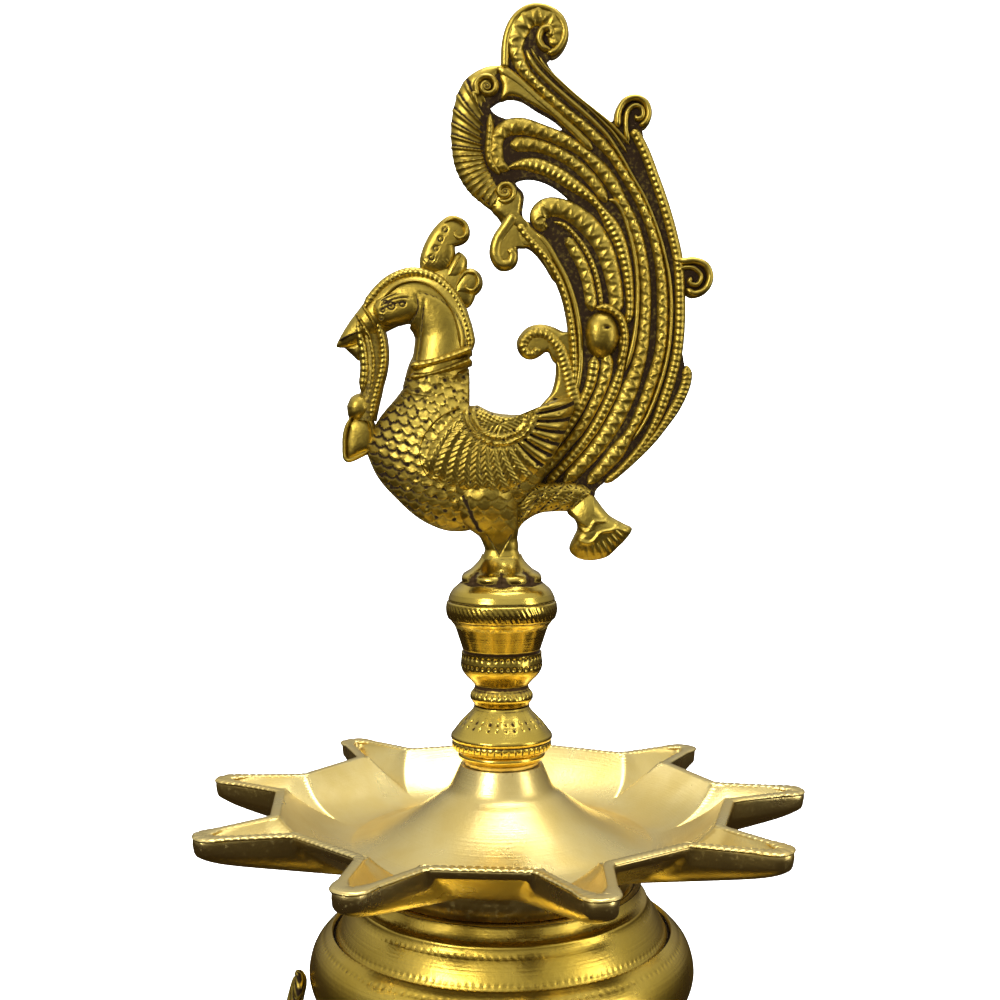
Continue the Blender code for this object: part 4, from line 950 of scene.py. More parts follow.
def button_sheet(x, z, radius, half_thick, rings=2, facets=40):
    """A round boss through the casting: a domed lens whose faces carry raised rings."""
    reach = np.linspace(-1, 1, 81)[:, None]
    angle = (np.arange(facets) * 2 * math.pi / facets)[None, :]
    share = np.abs(reach)
    far = radius * np.sqrt(np.clip(1 - np.clip((share - 0.35) / 0.65, 0, 1) ** 2.4, 0.0004, 1))
    wave = 0.35 * np.cos(far / radius * math.pi * 2 * rings) * (share > 0.5)
    depth = half_thick * (share**0.45) * np.sign(reach) + np.sign(reach) * wave
    points = np.stack([x + far * np.cos(angle), depth * np.ones_like(far * angle),
                       z + seat + far * np.sin(angle)], 2)
    # painted shade in the troughs between the rings and on the boss's rim
    dark = np.clip(-wave * 2.2, 0, 1) * (share > 0.5) + 0.9 * (share < 0.3)
    return points, np.broadcast_to(np.clip(dark, 0, 1), points.shape[:2]), False


def scroll_line(x, z, radius, start, turns, inner=0.25, steps=12):
    """A spiral that winds in round (x, z): the radius falls evenly from its start angle, in degrees."""
    share = np.linspace(0, 1, steps)
    angle = math.radians(start) + turns * 2 * math.pi * share
    far = radius * (1 - (1 - inner) * share)
    return list(zip(x + far * np.cos(angle), z + far * np.sin(angle)))


# wing: a raised pad on each flank with a saddle patch, two beaded bands round it, and feathers that fan out
# from it all the way from the shoulder to the tail's root
saddle = (-0.6, 60.0)
wing_outline = [(-10, 62.5), (-17, 61.5), (-25.5, 57), (-31.5, 49), (-33, 40.5), (-30, 34.6), (-25.4, 31.6),
                (-20.5, 28.8), (-12.6, 27.1), (-3.7, 26.2), (3.3, 28), (12.2, 33.3), (18.4, 38.6),
                (23.7, 45.6), (27.2, 52.7), (30.4, 63), (27.5, 65.5), (21, 64), (14.5, 60), (6.9, 58.6),
                (-3, 59.4)]


def wing_chasing(x, z):
    """Distance and angle from the saddle give rings and rays: a dotted patch, two beaded rings, then
    feathers that bend downwards, with a sunk edge between them, a quill and slanting barbs; those at the
    rear are fat ridges."""
    far = np.hypot(x - saddle[0], (z - saddle[1]) * 1.05)
    ray = np.degrees(np.arctan2(z - saddle[1], x - saddle[0])) % 360
    ray = np.where(ray < 90, ray + 360, ray)
    patch = far < 10
    stipple = np.sin(x * 2.6 + z) * np.sin(z * 2.9 - x * 0.6)
    rings = np.exp(-((far - 11.3) / 0.8) ** 2) + np.exp(-((far - 14.0) / 0.8) ** 2)
    between = (np.exp(-((far - 12.7) / 0.5) ** 2) + np.exp(-((far - 15.6) / 0.6) ** 2)
               + np.exp(-((far - 9.9) / 0.5) ** 2))
    bead = 0.7 + 0.3 * np.cos(np.radians(ray) * far / 0.4)
    bend = 0.65 + 0.9 * np.clip((285 - ray) / 95, 0, 1)
    root = ray - bend * (far - 15.6)
    local = (root / 11.5) % 1 - 0.5
    rear = np.clip((ray - 292) / 12, 0, 1)
    vane = np.abs(np.cos(local * math.pi)) ** 0.7
    barb = np.cos(2 * math.pi * (far - 6 * np.abs(local)) / 2.3)
    quill = np.exp(-((local / 0.07) ** 2))
    feather = (0.7 + 1.2 * rear) * (vane - 1) + (0.14 * barb + 0.2 * quill) * (1 - rear)
    outside = far > 15.6
    stand = (np.where(outside, feather, 0) + np.where(patch, 0.3 * stipple, 0)
             + 0.9 * rings * bead - 0.5 * between)
    gap = np.clip((np.abs(local) - 0.4 + 0.1 * rear) / 0.08, 0, 1)
    dark = np.where(outside, gap * (0.45 + 0.55 * rear) + 0.12 * np.clip(-barb, 0, 1) * (1 - rear), 0)
    dark = dark + 0.6 * between + np.where(patch, 0.6 * (stipple < -0.5), 0) + 0.4 * (1 - bead) * rings
    pit = np.clip(np.sin(x * 0.7 + 1) * np.sin(z * 0.9 + 2) * 4 - 3.3, 0, 1)
    return stand - 0.6 * pit, np.clip(dark + pit, 0, 1)


bird_trim = [pad_sheet(wing_outline, 20.8, (-0.6, 55), 72, 0.4, 5.0, wing_chasing, 17.0, 5.0)]
bird_trim.append(rib_sheet([(-16.5, 61.5), (-25.8, 57), (-32, 49), (-33.4, 40.5), (-30.4, 33.8),
                            (-25.8, 31), (-20.5, 28.2), (-12.6, 26.5), (-3.7, 25.6), (3.6, 27.4)], 0.9,
                           18.0, spacing=0.6, facets=12))
for drop, width in ((0, 2.3), (-4.6, 1.9)):
    bird_trim.append(rib_sheet([(-37.6, 78.6 + drop), (-31, 79.4 + drop), (-22, 82.0 + drop),
                                (-12.4, 85.6 + drop)], width, 14.0, "beads", taper=(1, 1)))


def evenly_shaded(share):
    """A chasing that cuts nothing and paints the whole face dark by a share, as even shade."""
    return lambda x, z: (0.0 * x, share + 0.0 * x)


# garland: two beaded cords from the cheek to a round pendant, and a bordered leaf below it
# the web behind the cords is painted evenly dark, as the shade between them
garland_web = [(-58, 99, 2.4, 4), (-55.4, 92, 5.2, 4.6), (-53.8, 84, 5.6, 4.8), (-53.6, 77, 5.4, 5),
               (-54.2, 70, 4.8, 5.4), (-55.6, 63, 4.6, 6), (-56.4, 56, 4, 6)]
bird_trim.append(oval_sheet(garland_web, 0.6, 32, evenly_shaded(0.55)))
bird_trim.append(rib_sheet([(-53.4, 100), (-50.2, 92), (-49.2, 84), (-49.8, 77), (-51.6, 70), (-53.4, 63),
                            (-54.6, 56)], 2.0, 6.6, "cuts"))
bird_trim.append(rib_sheet([(-60, 98), (-58.6, 90), (-57.4, 83), (-57.2, 76), (-58.2, 68)], 2.2, 6.2,
                           "beads"))
bird_trim.append(rib_sheet([(-56.6, 96), (-54.4, 88), (-53.4, 80), (-54.2, 71), (-56.2, 63)], 1.0, 6.0,
                           "cuts"))
bird_trim.append(pad_sheet([(-65, 62), (-63, 66), (-59, 67.6), (-55.5, 66), (-54, 61.5), (-56, 57.5),
                            (-60, 55.4), (-64, 57)], 7.6, (-59.8, 61.4), 16, 0.6, 2.4))
bird_trim.append(pad_sheet([(-64.2, 57), (-60, 58.5), (-55, 57), (-52.5, 50), (-53.6, 43), (-58, 41),
                            (-64.6, 38.4), (-66, 45), (-65.4, 51)], 5.0, (-59.5, 48), 16, 0.6, 3.0))
bird_trim.append(rib_sheet([(-62.5, 58), (-65, 52), (-65.6, 46), (-64.6, 39.6), (-58, 42), (-54.5, 44)],
                           1.1, 5.8))
bird_trim.append(rib_sheet([(-58, 57.5), (-54.6, 55), (-53.4, 49), (-54.5, 44)], 1.1, 5.8))

# head: a ridge with cross cuts over the crown and down the back of the neck, brow, eye, mouth
# and beak bands
crown_line = [(-57.4, 102.6), (-52, 109.8), (-46, 115), (-38, 117.8), (-30, 116.4), (-24, 112.4),
              (-19, 106.4), (-15.6, 98.6), (-13.6, 91), (-13.2, 85)]
bird_trim.append(rib_sheet(crown_line, 2.4, 6.6, "cuts"))
bird_trim.append(rib_sheet([(-49, 107), (-43, 112.2), (-36, 114), (-29.6, 112), (-24, 107), (-20, 100.4),
                            (-17.6, 92), (-17, 86)], 0.8, 9.4))
cheek_outline = [(-52.6, 106), (-47.6, 109.4), (-41, 111.4), (-35.6, 109.4), (-32, 105), (-33.6, 100.6),
                 (-38, 97.4), (-44, 95.6), (-49, 95.4), (-53, 98.4), (-54.2, 102.4)]


def cheek_chasing(x, z):
    """Brow lines, a ringed eye with its almond tail, and small ring punches by the beak."""
    cut = np.zeros(np.shape(x))
    for drop in (0, 2.1, 4.0):
        brow = z + drop - 108.9 + 0.035 * (x + 39.5) ** 2 + 0.05 * (x + 39.5)
        cut = cut + np.exp(-((brow / 0.42) ** 2)) * (x < -36.5 - 0.7 * drop) * (x > -50)
    for eye_x, eye_z, ring in ((-45.6, 103.4, 1.5), (-45.6, 103.4, 0.2), (-41, 104.2, 1.1),
                               (-49.2, 101.6, 0.8), (-48.2, 105, 0.7), (-49.8, 98.6, 0.7)):
        cut = cut + np.exp(-(((np.hypot(x - eye_x, z - eye_z) - ring) / 0.42) ** 2))
    return -0.5 * np.clip(cut, 0, 1), 0.85 * np.clip(cut, 0, 1)


bird_trim.append(pad_sheet(cheek_outline, 10.4, (-43, 103), 44, 0.4, 3.0, cheek_chasing, 4.0))
bird_trim.append(rib_sheet([(-60.8, 100.6), (-57.4, 95.4), (-54, 89.4)], 1.2, 7.8, "cuts"))
bird_trim.append(rib_sheet([(-58, 104), (-54.8, 99.4), (-52, 94.6)], 1.2, 8.8))
bird_trim.append(rib_sheet([(-68, 89.4), (-63.4, 91.6), (-58.4, 93.4)], 0.5, 5.6, darker=0.9))
bird_trim.append(pad_sheet([(-66, 86.4), (-62, 88.4), (-57.6, 90), (-57.6, 85), (-59.6, 81), (-62.4, 83)],
                           3.8, (-60.4, 86), 12, 0.6, 2.2))

# crest: a paisley plume with ring punches, a leaf and a round curl, each a plump pad with a raised edge
plume_outline = [(-34.4, 118.5), (-34.2, 125), (-31, 133), (-26, 139.4), (-21, 142.2), (-16, 140.4),
                 (-13.2, 136), (-14, 131.8), (-17, 129.6), (-19.4, 130), (-19.4, 125), (-21.6, 120),
                 (-26, 117)]


def plume_chasing(x, z):
    """A raised border set in from the edge, and four ring punches down the middle."""
    marks = np.zeros(np.shape(x))
    for k in range(4):
        far = np.hypot(x + 23.6 + 1.9 * k, z - 135.6 + 3.9 * k)
        marks = marks + np.exp(-((far - 1.0) / 0.35) ** 2)
    hatch = np.clip(np.cos(2 * math.pi * (x + z) / 1.8), 0, 1) * (z < 124)
    return -0.5 * marks - 0.3 * hatch, np.clip(marks * 0.9 + hatch * 0.5, 0, 1)


bird_trim.append(pad_sheet([(-33, 115), (-27, 120), (-18, 120), (-12, 114), (-11, 108), (-15, 103),
                            (-24, 108)], 4.2, (-21, 112), 16, 0.6, 4.0))
bird_trim.append(pad_sheet(plume_outline, 4.6, (-25, 129), 26, 0.6, 4.0, plume_chasing))
bird_trim.append(rib_sheet([(-24, 138.6), (-19.6, 140.4), (-15.2, 138), (-14.8, 133.8), (-17.6, 132),
                            (-19.8, 134), (-18.6, 135.8)], 1.2, 5.2))
bird_trim.append(pad_sheet([(-25.4, 113.5), (-23, 120), (-19.6, 125.6), (-17.6, 126.8), (-14.6, 124),
                            (-14.6, 119.6), (-18, 114)], 4.4, (-20, 119), 16, 0.6, 2.6))
bird_trim.append(rib_sheet([(-22, 116), (-19, 121.5), (-17, 125)], 0.8, 5.0))
bird_trim.append(pad_sheet([(-22, 107), (-21, 113), (-17, 118.6), (-12.6, 120), (-8.8, 117.4), (-7.8, 113),
                            (-9.8, 109.2), (-14, 107.4)], 4.6, (-14.5, 113), 16, 0.6, 3.0))
bird_trim.append(rib_sheet([(-19, 112), (-15.6, 117.4), (-11.4, 117.6), (-9.6, 113.8), (-11.8, 110.4),
                            (-15, 111.4), (-14.4, 114)], 1.0, 5.3))

cast_piece("peacock_body", "finial", cast_brass, bird_core, ["peacock"])
cast_piece("peacock_chasing", "finial", cast_brass, bird_trim)


# ---------------------------------------------------------------- peacock: tail

# The tail sweeps up behind the bird as a thin pierced web with ribs standing on both faces: beaded and
# zigzag bands, spirals at their ends, a crescent of fluted feathers at the left and a round boss.

tail_web = [(29, 60), (28, 75), (28.2, 84), (28, 93), (27.6, 101), (25.4, 110), (20.4, 119.4), (13, 127.4),
            (7, 131), (2, 141), (-8, 149), (-15, 159), (-17, 172), (-15, 187), (-8, 197), (0, 202),
            (3, 212), (8, 221), (17, 226), (24, 221), (21.4, 210), (19, 204.6), (31.4, 190.4),
            (43.6, 180.6), (50, 183), (57, 183), (60, 168), (66, 148), (71, 133), (73, 126), (77, 118),
            (73, 108), (73.4, 92), (75.6, 82), (76, 73), (71.6, 61), (63.4, 49.4), (51.4, 37.4), (40, 28),
            (38, 24), (31, 20), (22.8, 19), (12, 20), (0, 36), (12, 46)]
web_slots = [[(-5.6, 187.4), (-1.1, 190.4), (3.4, 191.5), (8.7, 190.4), (14.7, 186.6), (20.7, 183.2),
              (25.9, 179.1), (25.2, 177.2), (22.2, 176.9), (16.2, 179.1), (8.7, 181), (1.9, 181.7),
              (-3.3, 184)],
             [(4.9, 155.9), (7.9, 157.4), (13.2, 157.7), (19.2, 155.9), (25.2, 152.1), (29.7, 147.6),
              (30, 146.5), (22.9, 147), (18.4, 146.5), (15.4, 143.1), (13.5, 139), (10.2, 139),
              (8.3, 142.4), (9, 149.9), (6.4, 153.6)]]


def web_piece(name, outline, slots, thickness, finish):
    """The tail's web: the outline with its slots as a filled curve, given thickness, turned upright."""
    curve = bpy.data.curves.new(name, "CURVE")
    curve.dimensions = "2D"
    curve.fill_mode = "BOTH"
    curve.extrude = thickness / 2 - 0.4
    curve.bevel_depth = 0.4
    curve.bevel_resolution = 1
    for loop in [outline] + slots:
        ring = smooth_line(loop + loop[:1], 1.0)[:-1]
        spline = curve.splines.new("POLY")
        spline.points.add(len(ring) - 1)
        spline.use_cyclic_u = True
        spline.points.foreach_set("co", np.column_stack([ring, np.zeros(len(ring)),
                                                         np.ones(len(ring))]).ravel())
    holder = bpy.data.objects.new(name + "_outline", curve)
    bpy.context.scene.collection.objects.link(holder)
    bpy.context.view_layer.update()
    mesh = bpy.data.meshes.new_from_object(holder.evaluated_get(bpy.context.evaluated_depsgraph_get()))
    bpy.data.objects.remove(holder, do_unlink=True)
    flat = np.zeros(len(mesh.vertices) * 3)
    mesh.vertices.foreach_get("co", flat)
    flat = flat.reshape(-1, 3)
    upright = np.stack([flat[:, 0], -flat[:, 2], flat[:, 1] + seat], axis=1) * MM
    mesh.vertices.foreach_set("co", upright.ravel())
    # painted shade: the web between the ribs is dark all over, as the shade and patina down between them
    mesh.attributes.new("darkness", "FLOAT", "POINT").data.foreach_set(
        "value", np.full(len(mesh.vertices), 0.84))
    mesh.set_sharp_from_angle(angle=math.radians(40))
    mesh.materials.clear()
    mesh.materials.append(finish)
    piece = bpy.data.objects.new(name, mesh)
    bpy.context.scene.collection.objects.link(piece)
    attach(piece, "finial")
    return piece


web_piece("peacock_tail_web", tail_web, web_slots, 6.8, cast_brass)


def shared_ribs(ribs, closest=0.75, widest=1.65):
    """Ribs that lie side by side: each point's half width is its share of the distance to the nearest other
    rib, distance * own / (own + other), kept near the rib's own width. Each is (line, own half width, half
    thickness, pattern, taper, free); a rib that is not free keeps its width."""
    lines = [smooth_line(rib[0], 0.5)[:, :2] for rib in ribs]
    sheets = []
    for number, (line, own, half_thick, pattern, taper, free) in enumerate(ribs):
        here = lines[number]
        half = np.full(len(here), widest * own)
        for other, there in enumerate(lines):
            if other != number:
                gap = np.sqrt(((here[:, None] - there[None]) ** 2).sum(2)).min(1)
                half = np.minimum(half, gap * own / (own + ribs[other][1]))
        limit = widest if free else 1.0
        half = np.clip(half * 1.06, closest * own, limit * own)
        half = np.convolve(np.pad(half, 8, mode="edge"), np.ones(17) / 17, mode="valid")
        sheets.append(rib_sheet(line, half, half_thick, pattern, taper, facets=18))
    return sheets


outer_beaded = [(54.6, 177.4), (56.6, 174.4), (60, 167.6), (63.6, 158), (66.8, 149), (69.6, 140),
                (71.8, 131.6), (73.4, 124), (74.2, 116.3), (74.5, 107.1), (74.3, 94.5), (73.2, 84),
                (71, 74.4), (68, 65.2), (64, 55), (58.2, 45.2), (51.2, 37), (44.4, 30.4)]
zigzag_outer = [(20.2, 212.6), (22.2, 214.6), (23.2, 218.1), (22.4, 221.7), (19.9, 224.2), (16.2, 225.4),
                (11.9, 224.8), (8.4, 221.8), (6.0, 216.6), (5.9, 210.8), (8.7, 203.4), (13.2, 197.9),
                (19.2, 191.9), (26.7, 185), (34.2, 179.1), (40.2, 173.4), (46.2, 166.6), (51.4, 158.6),
                (57.2, 148.6), (61.2, 139.6), (63.8, 131.6), (65.8, 122), (67, 112), (67.2, 100),
                (66.6, 88.1), (64.8, 79.3), (62, 70.4), (58.8, 61.6), (54.6, 52.7), (48.8, 43.9),
                (42, 35.9), (36, 29.6)]
thin_line = [(10.2, 210.6), (13.4, 204.4), (19.2, 197.9), (26.7, 191.1), (34.2, 184.7), (40.2, 179.1),
             (44.9, 173.9), (49.8, 166.4), (54.3, 158.4), (59.6, 149), (64.4, 137.6), (67.6, 127.1),
             (70, 115.5), (70.8, 102.9), (70, 88.2), (67.8, 77), (64.6, 67), (60.2, 56.6), (54.6, 47.6)]
second_line = [(12.2, 211.4), (15.4, 205.9), (20.9, 199.9), (28.4, 192.8), (35.9, 186.6), (42.6, 180.2),
               (47.4, 175), (52.4, 167.6)]
top_edge = [(15.4, 208.2), (18.4, 203.5), (23.7, 198.2), (31.2, 191.4), (38.7, 185.4), (44.7, 180.4),
            (49.4, 175.6), (53.4, 171)]
plain_band = [(-1.6, 203.6), (3.2, 200.4), (8.6, 196.4), (14.6, 190.9), (20.8, 185.7), (26.4, 180.6),
              (32, 175.4), (38, 169)]
loop_outer = [(3.4, 160.6), (-1, 162.8), (-2.6, 168.2), (-1.8, 174.2), (2.2, 178), (8.6, 178.8),
              (16.6, 176.7), (25.2, 173.4), (32.7, 169), (38.9, 163.7), (44.9, 156.9), (50.2, 147.8),
              (54.7, 138.8), (57.6, 129.8), (59.6, 118), (60.2, 105), (59.2, 90), (57.2, 80), (54, 70.4),
              (50.2, 61.6), (45.4, 52.7), (39.2, 43.9), (32.2, 36.2), (26, 30)]
loop_middle = [(3.4, 171), (8, 171.4), (14, 171), (20.8, 168.8), (28.1, 165), (34.6, 159.8), (40, 153.6),
               (43.8, 147)]
loop_lower = [(2.6, 161.6), (9.6, 163), (16.2, 162), (23, 159), (29, 155), (34.4, 151.2), (39.6, 146.6),
              (44.7, 139.6), (48.9, 131.6), (51.4, 123.6), (53, 114.5), (53.6, 104), (52.8, 96.6)]
loop_leaf = [(44.4, 148.4), (47.8, 147), (50.8, 142.4), (53.4, 134.4), (55.2, 127), (56.4, 119),
             (56.8, 110.3), (56.2, 97), (54.6, 87), (51.6, 76.6)]
curl_rib = [(19.4, 136.8), (16.2, 137.8), (15.6, 141.6), (18.6, 144.6), (23, 145), (29, 143), (35, 138.6),
            (39.6, 133.2), (43.4, 126.4), (46, 117.6), (47.6, 109), (48, 101)]
inner_curl = [(21.6, 139), (26, 137.6), (31.2, 132.8), (35.6, 126.4), (39, 118.5), (41, 109.5),
              (41.6, 102.6)]
small_rib = [(27.4, 132.6), (29.8, 128.1), (33.2, 122), (35.6, 115.3), (37, 108), (37.6, 101.6)]
edge_band = [(7, 138), (10, 133.6), (14, 129), (18.6, 123.8), (22.8, 117.4), (26, 110), (28, 102.6),
             (29.4, 94), (30.2, 85.3), (30.2, 74.3), (28.4, 64)]
edge_inside = [(13.6, 135), (18.4, 130), (22.6, 123.4), (26.6, 116), (29.6, 108), (31.6, 100), (32.8, 90),
               (32.8, 78), (31, 67)]
lower_edge = [(77.4, 79), (77, 72), (73.8, 64), (69.2, 56.4), (64.2, 49.4), (58, 42.8), (50.4, 35.8),
              (43, 30)]
fan_lines = ([(50.8, 93), (50.4, 81), (47.6, 70.8), (43.4, 61.4), (38.2, 52.2), (31.6, 43.4), (23.6, 34.6),
              (19, 30)],
             [(44.6, 84), (43, 73.4), (39, 63.4), (33.4, 53.4), (26.6, 44.8), (19.6, 37), (14.6, 31.6)],
             [(39, 83), (37.2, 72), (33.2, 62.7), (28.6, 54.7), (23, 46)])
tail_ribs = shared_ribs(
    [(outer_beaded, 2.5, 5.3, "beads", (1, 4), False), (zigzag_outer, 3.1, 5.7, "zigzag", (3, 4), True),
     (thin_line, 1.2, 5.2, "", (4, 4), True), (second_line, 0.8, 5.0, "", (3, 3), False),
     (top_edge, 1.0, 5.2, "", (3, 3), False), (plain_band, 2.7, 5.0, "", (3, 3), False),
     (loop_outer, 3.4, 5.7, "zigzag", (3, 4), True), (loop_middle, 3.2, 5.4, "zigzag", (3, 3), True),
     (loop_lower, 2.5, 5.3, "beads", (3, 3), True), (loop_leaf, 1.6, 4.9, "", (2, 5), True),
     (curl_rib, 3.3, 5.5, "zigzag", (2, 3), True), (inner_curl, 1.5, 4.8, "cuts", (4, 4), True),
     (small_rib, 3.3, 5.2, "zigzag", (2, 3), True), (edge_band, 2.4, 5.6, "beads", (1, 3), False),
     (edge_inside, 1.9, 4.8, "", (4, 4), True), (lower_edge, 2.5, 4.9, "cuts", (3, 3), False),
     (fan_lines[0], 2.3, 5.3, "beads", (3, 3), True), (fan_lines[1], 2.4, 5.3, "zigzag", (3, 3), True),
     (fan_lines[2], 2.2, 5.2, "beads", (3, 3), True)])
cast_piece("peacock_tail_ribs", "finial", cast_brass, tail_ribs)


def circle_line(x, z, radius, count=12):
    """Points of a circle, for a pad's outline."""
    angle = np.arange(count) * 2 * math.pi / count
    return list(zip(x + radius * np.cos(angle), z + radius * np.sin(angle)))


def boss_dent(x, z):
    """A small dark dent to one side of the boss, exp(-distance**2 / 2) deep, flattened along the height."""
    dent = np.exp(-((x - 43.6) ** 2 + (2 * (z - 94.6)) ** 2) / 2)
    return -1.5 * dent, dent


# scrolls at the ribs' ends: discs painted dark as shade behind, and bands that wind in over them
arch = [(1.4, 203), (1.6, 212), (2.7, 218.1), (5.2, 223.4), (8.7, 226.8), (12.4, 228.5), (16.5, 228.6),
        (20.7, 227.2), (24, 224.2), (26, 220.4), (26.2, 216.6), (24.8, 213), (22.2, 210.1), (18.8, 209.2)]
scrolls = [rib_sheet(arch, 1.9, 5.6, "", (1, 2)),
           rib_sheet([(20.4, 210.6), (17.4, 211.6), (15.6, 215), (16.6, 218.8), (19.6, 219.8), (21, 217.6),
                      (19.6, 216.2)], 1.7, 6.2, "", (2, 1)),
           pad_sheet(circle_line(19.4, 217, 5.6), 3.6, (19.4, 217), 12, 0.6, 6, evenly_shaded(1.0)),
           pad_sheet(circle_line(55.4, 184, 6.6), 3.6, (55.4, 184), 12, 0.6, 6, evenly_shaded(1.0)),
           rib_sheet([(48.6, 178), (48.8, 184.6), (51.6, 189.4), (56.2, 190.8), (60.2, 188.6),
                      (61.4, 184.2), (60, 180.4), (57.4, 179)], 1.6, 5.8, "", (2, 2)),
           rib_sheet([(53, 172), (51.8, 178.4), (52.4, 184.6), (55.4, 187.4), (58.4, 186.2), (58.8, 183),
                      (56.6, 181.8), (55.6, 183.6)], 1.3, 5.6, "", (2, 2)),
           pad_sheet(circle_line(80.4, 116, 6.6), 3.6, (80.4, 116), 12, 0.6, 6, evenly_shaded(1.0)),
           rib_sheet([(71.6, 124), (75, 122.4), (80.4, 122.8), (85.4, 120.6), (87, 115.6), (84.8, 110.8),
                      (80.4, 109), (77, 111)], 1.7, 5.8, "", (2, 2)),
           rib_sheet([(73, 117.6), (75.4, 119.6), (80, 119.6), (83.2, 116.4), (81.6, 112.8), (78.4, 113.4),
                      (79, 116)], 1.2, 5.6, "", (2, 1)),
           pad_sheet([(3.8, 155.9), (6.4, 153.6), (9, 149.9), (8.3, 142.4), (10.2, 139), (13.2, 136.4),
                      (11.7, 132.8), (4.2, 136.4), (-0.8, 140.4), (-4.3, 144.2), (-3.6, 150.6),
                      (-1.1, 155.1)], 4.9, (4, 145), 16, 0.6, 5),
           pad_sheet([(-0.7, 204.2), (4.2, 200.6), (10.2, 196.8), (16.2, 191.3), (22.4, 185.6),
                      (26.6, 179.9), (20.7, 182.8), (14.7, 186.2), (8.7, 189.8), (3.4, 190.9),
                      (-1.1, 189.8), (-0.4, 195.6), (-1.6, 200.1)], 4.6, (5, 195.4), 16, 0.6, 5),
           pad_sheet([(5, 140.5), (8.6, 138), (10.4, 132), (11, 128.4), (7.2, 128.8), (7, 124.5),
                      (5, 120.8), (0.6, 119), (-3.2, 120.8), (-4.6, 125.8), (-3.8, 130.8), (-0.2, 136.2),
                      (1.6, 140)], 4.6, (2.5, 129), 16, 0.6, 6),
           pad_sheet([(5, 141), (9.4, 139.6), (13.9, 136.4), (17.7, 132.6), (20.7, 128.1), (22.9, 122.1),
                      (24, 114), (21.6, 114.6), (18.4, 119.9), (14.4, 125.2), (11.2, 128), (7.5, 128.8),
                      (4, 134)], 4.5, (13.5, 131), 16, 0.6, 6),
           pad_sheet([(29.8, 93.6), (26, 93.4), (21.6, 95.4), (16, 96.5), (10.6, 95), (6.8, 90.6),
                      (6.4, 86.4), (8.4, 82.8), (11.6, 81.9), (15.6, 82.6), (19.3, 84.6), (22.3, 80),
                      (30.4, 78)], 4.6, (20, 89), 16, 0.6, 6),
           pad_sheet([(22.4, 83), (22.5, 75), (20.6, 67.6), (15.8, 60.8), (22, 57), (31, 58), (31, 75),
                      (30.8, 83)], 4.8, (26.5, 70), 16, 0.6, 6),
           rib_sheet([(5.2, 142), (2, 137), (-1.6, 131.4), (-2.6, 125.6), (-0.2, 121.4), (3.8, 122),
                      (4.6, 125.6), (2.2, 127.4)], 2.9, 5.6, "", (1, 2), 0.8),
           rib_sheet([(31, 60), (28.8, 70), (26.6, 79), (23.6, 87), (18, 92.2), (12.2, 91.8), (9, 87.8),
                      (10.8, 84), (14.4, 84.4), (14.6, 87)], 3.9, 5.8, "cuts", (3, 1), 0.55),
           pad_sheet([(34.4, 92), (35.6, 98.4), (40, 101.8), (45.6, 100.6), (49, 95), (49, 88),
                      (45.6, 82.6), (40.6, 81.4), (36, 84.6)], 9.0, (41.6, 92), 30, 0.5, 2.6, boss_dent),
           rib_sheet([(39, 103), (44.4, 102.8), (49.6, 98.6), (51.4, 91.4), (50.6, 84), (48.6, 79)], 2.0,
                     6.4, "beads")]
cast_piece("peacock_tail_scrolls", "finial", cast_brass, scrolls)

# crescent of fluted feathers, and the small fan that hangs under the tail
crescent_line = [(0, 204, 1.2, 3.4), (-5.6, 200.4, 4.4, 4.6), (-10.6, 194.4, 6.8, 5), (-13, 187, 7.4, 5.2),
                 (-13.8, 178.6, 7.8, 5.2), (-13.6, 170, 7.6, 5.2), (-12, 162.6, 7.4, 5.2),
                 (-8.6, 156, 6.8, 5.2), (-4.6, 150.8, 5.6, 5), (-1, 145.8, 3.8, 4.6), (1.8, 140.6, 2.8, 4),
                 (3, 137, 2.6, 4)]


def flute_chasing(x, z):
    """Flutes on rays from a point to the right: hollows with sharp bright edges, deep near the top and
    shallower and finer below."""
    far = np.hypot(x - 6, z - 170)
    ray = np.arctan2(z - 170, (x - 6)) % (2 * math.pi) + 0.008 * (far - 20)
    upper = ray < 3.25
    wave = np.where(upper, (ray * 6.0) % 1, (ray * 8.5) % 1)
    edge = np.exp(-((wave - 0.12) / 0.13) ** 2) + np.exp(-((wave - 1.12) / 0.13) ** 2)
    deep = np.where(upper, 1.3, 0.75) * (z > 146) * np.clip((200 - z) / 4, 0, 1)
    shade = np.clip((wave - 0.5) / 0.4, 0, 1) * np.where(upper, 0.95, 0.6)
    inner = np.exp(-((far - 12.6) / 0.7) ** 2) * (z < 186)
    return (edge - 0.75) * deep * 0.8 - 0.4 * inner, np.clip(shade * (deep > 0.2) + 0.6 * inner, 0, 1)


feathers = [oval_sheet(crescent_line, 0.35, 96, flute_chasing)]
feathers.append(rib_sheet([(-4.8, 184), (-4.8, 177), (-5.4, 170), (-4.6, 164), (-0.8, 158.6)], 1.8, 5.9,
                          "beads"))
feathers.append(rib_sheet([(-9.8, 187), (-11.6, 192)] + scroll_line(-6, 195.2, 5.2, 215, -1.45), 1.5, 6.6,
                          "", (4, 2)))
feathers.append(button_sheet(-6, 195.2, 1.7, 6.8, 1, 28))
feathers.append(rib_sheet(scroll_line(1.4, 151.4, 4.6, 230, 1.5), 1.5, 6.2, taper=(3, 2)))
feathers.append(button_sheet(1.4, 151.4, 1.5, 6.2, 1, 28))
fan_outline = [(27, 20), (32, 26), (37.4, 26.6), (39.6, 23.4), (45, 16.6), (51, 13), (54.8, 10.7),
               (52.6, 6.6), (49.3, 3.2), (44, -1.4), (36.4, -2.8), (30.8, -1.2), (28.3, 2.3), (30, 7),
               (31.6, 10.6), (30.8, 14), (27.8, 16.8)]


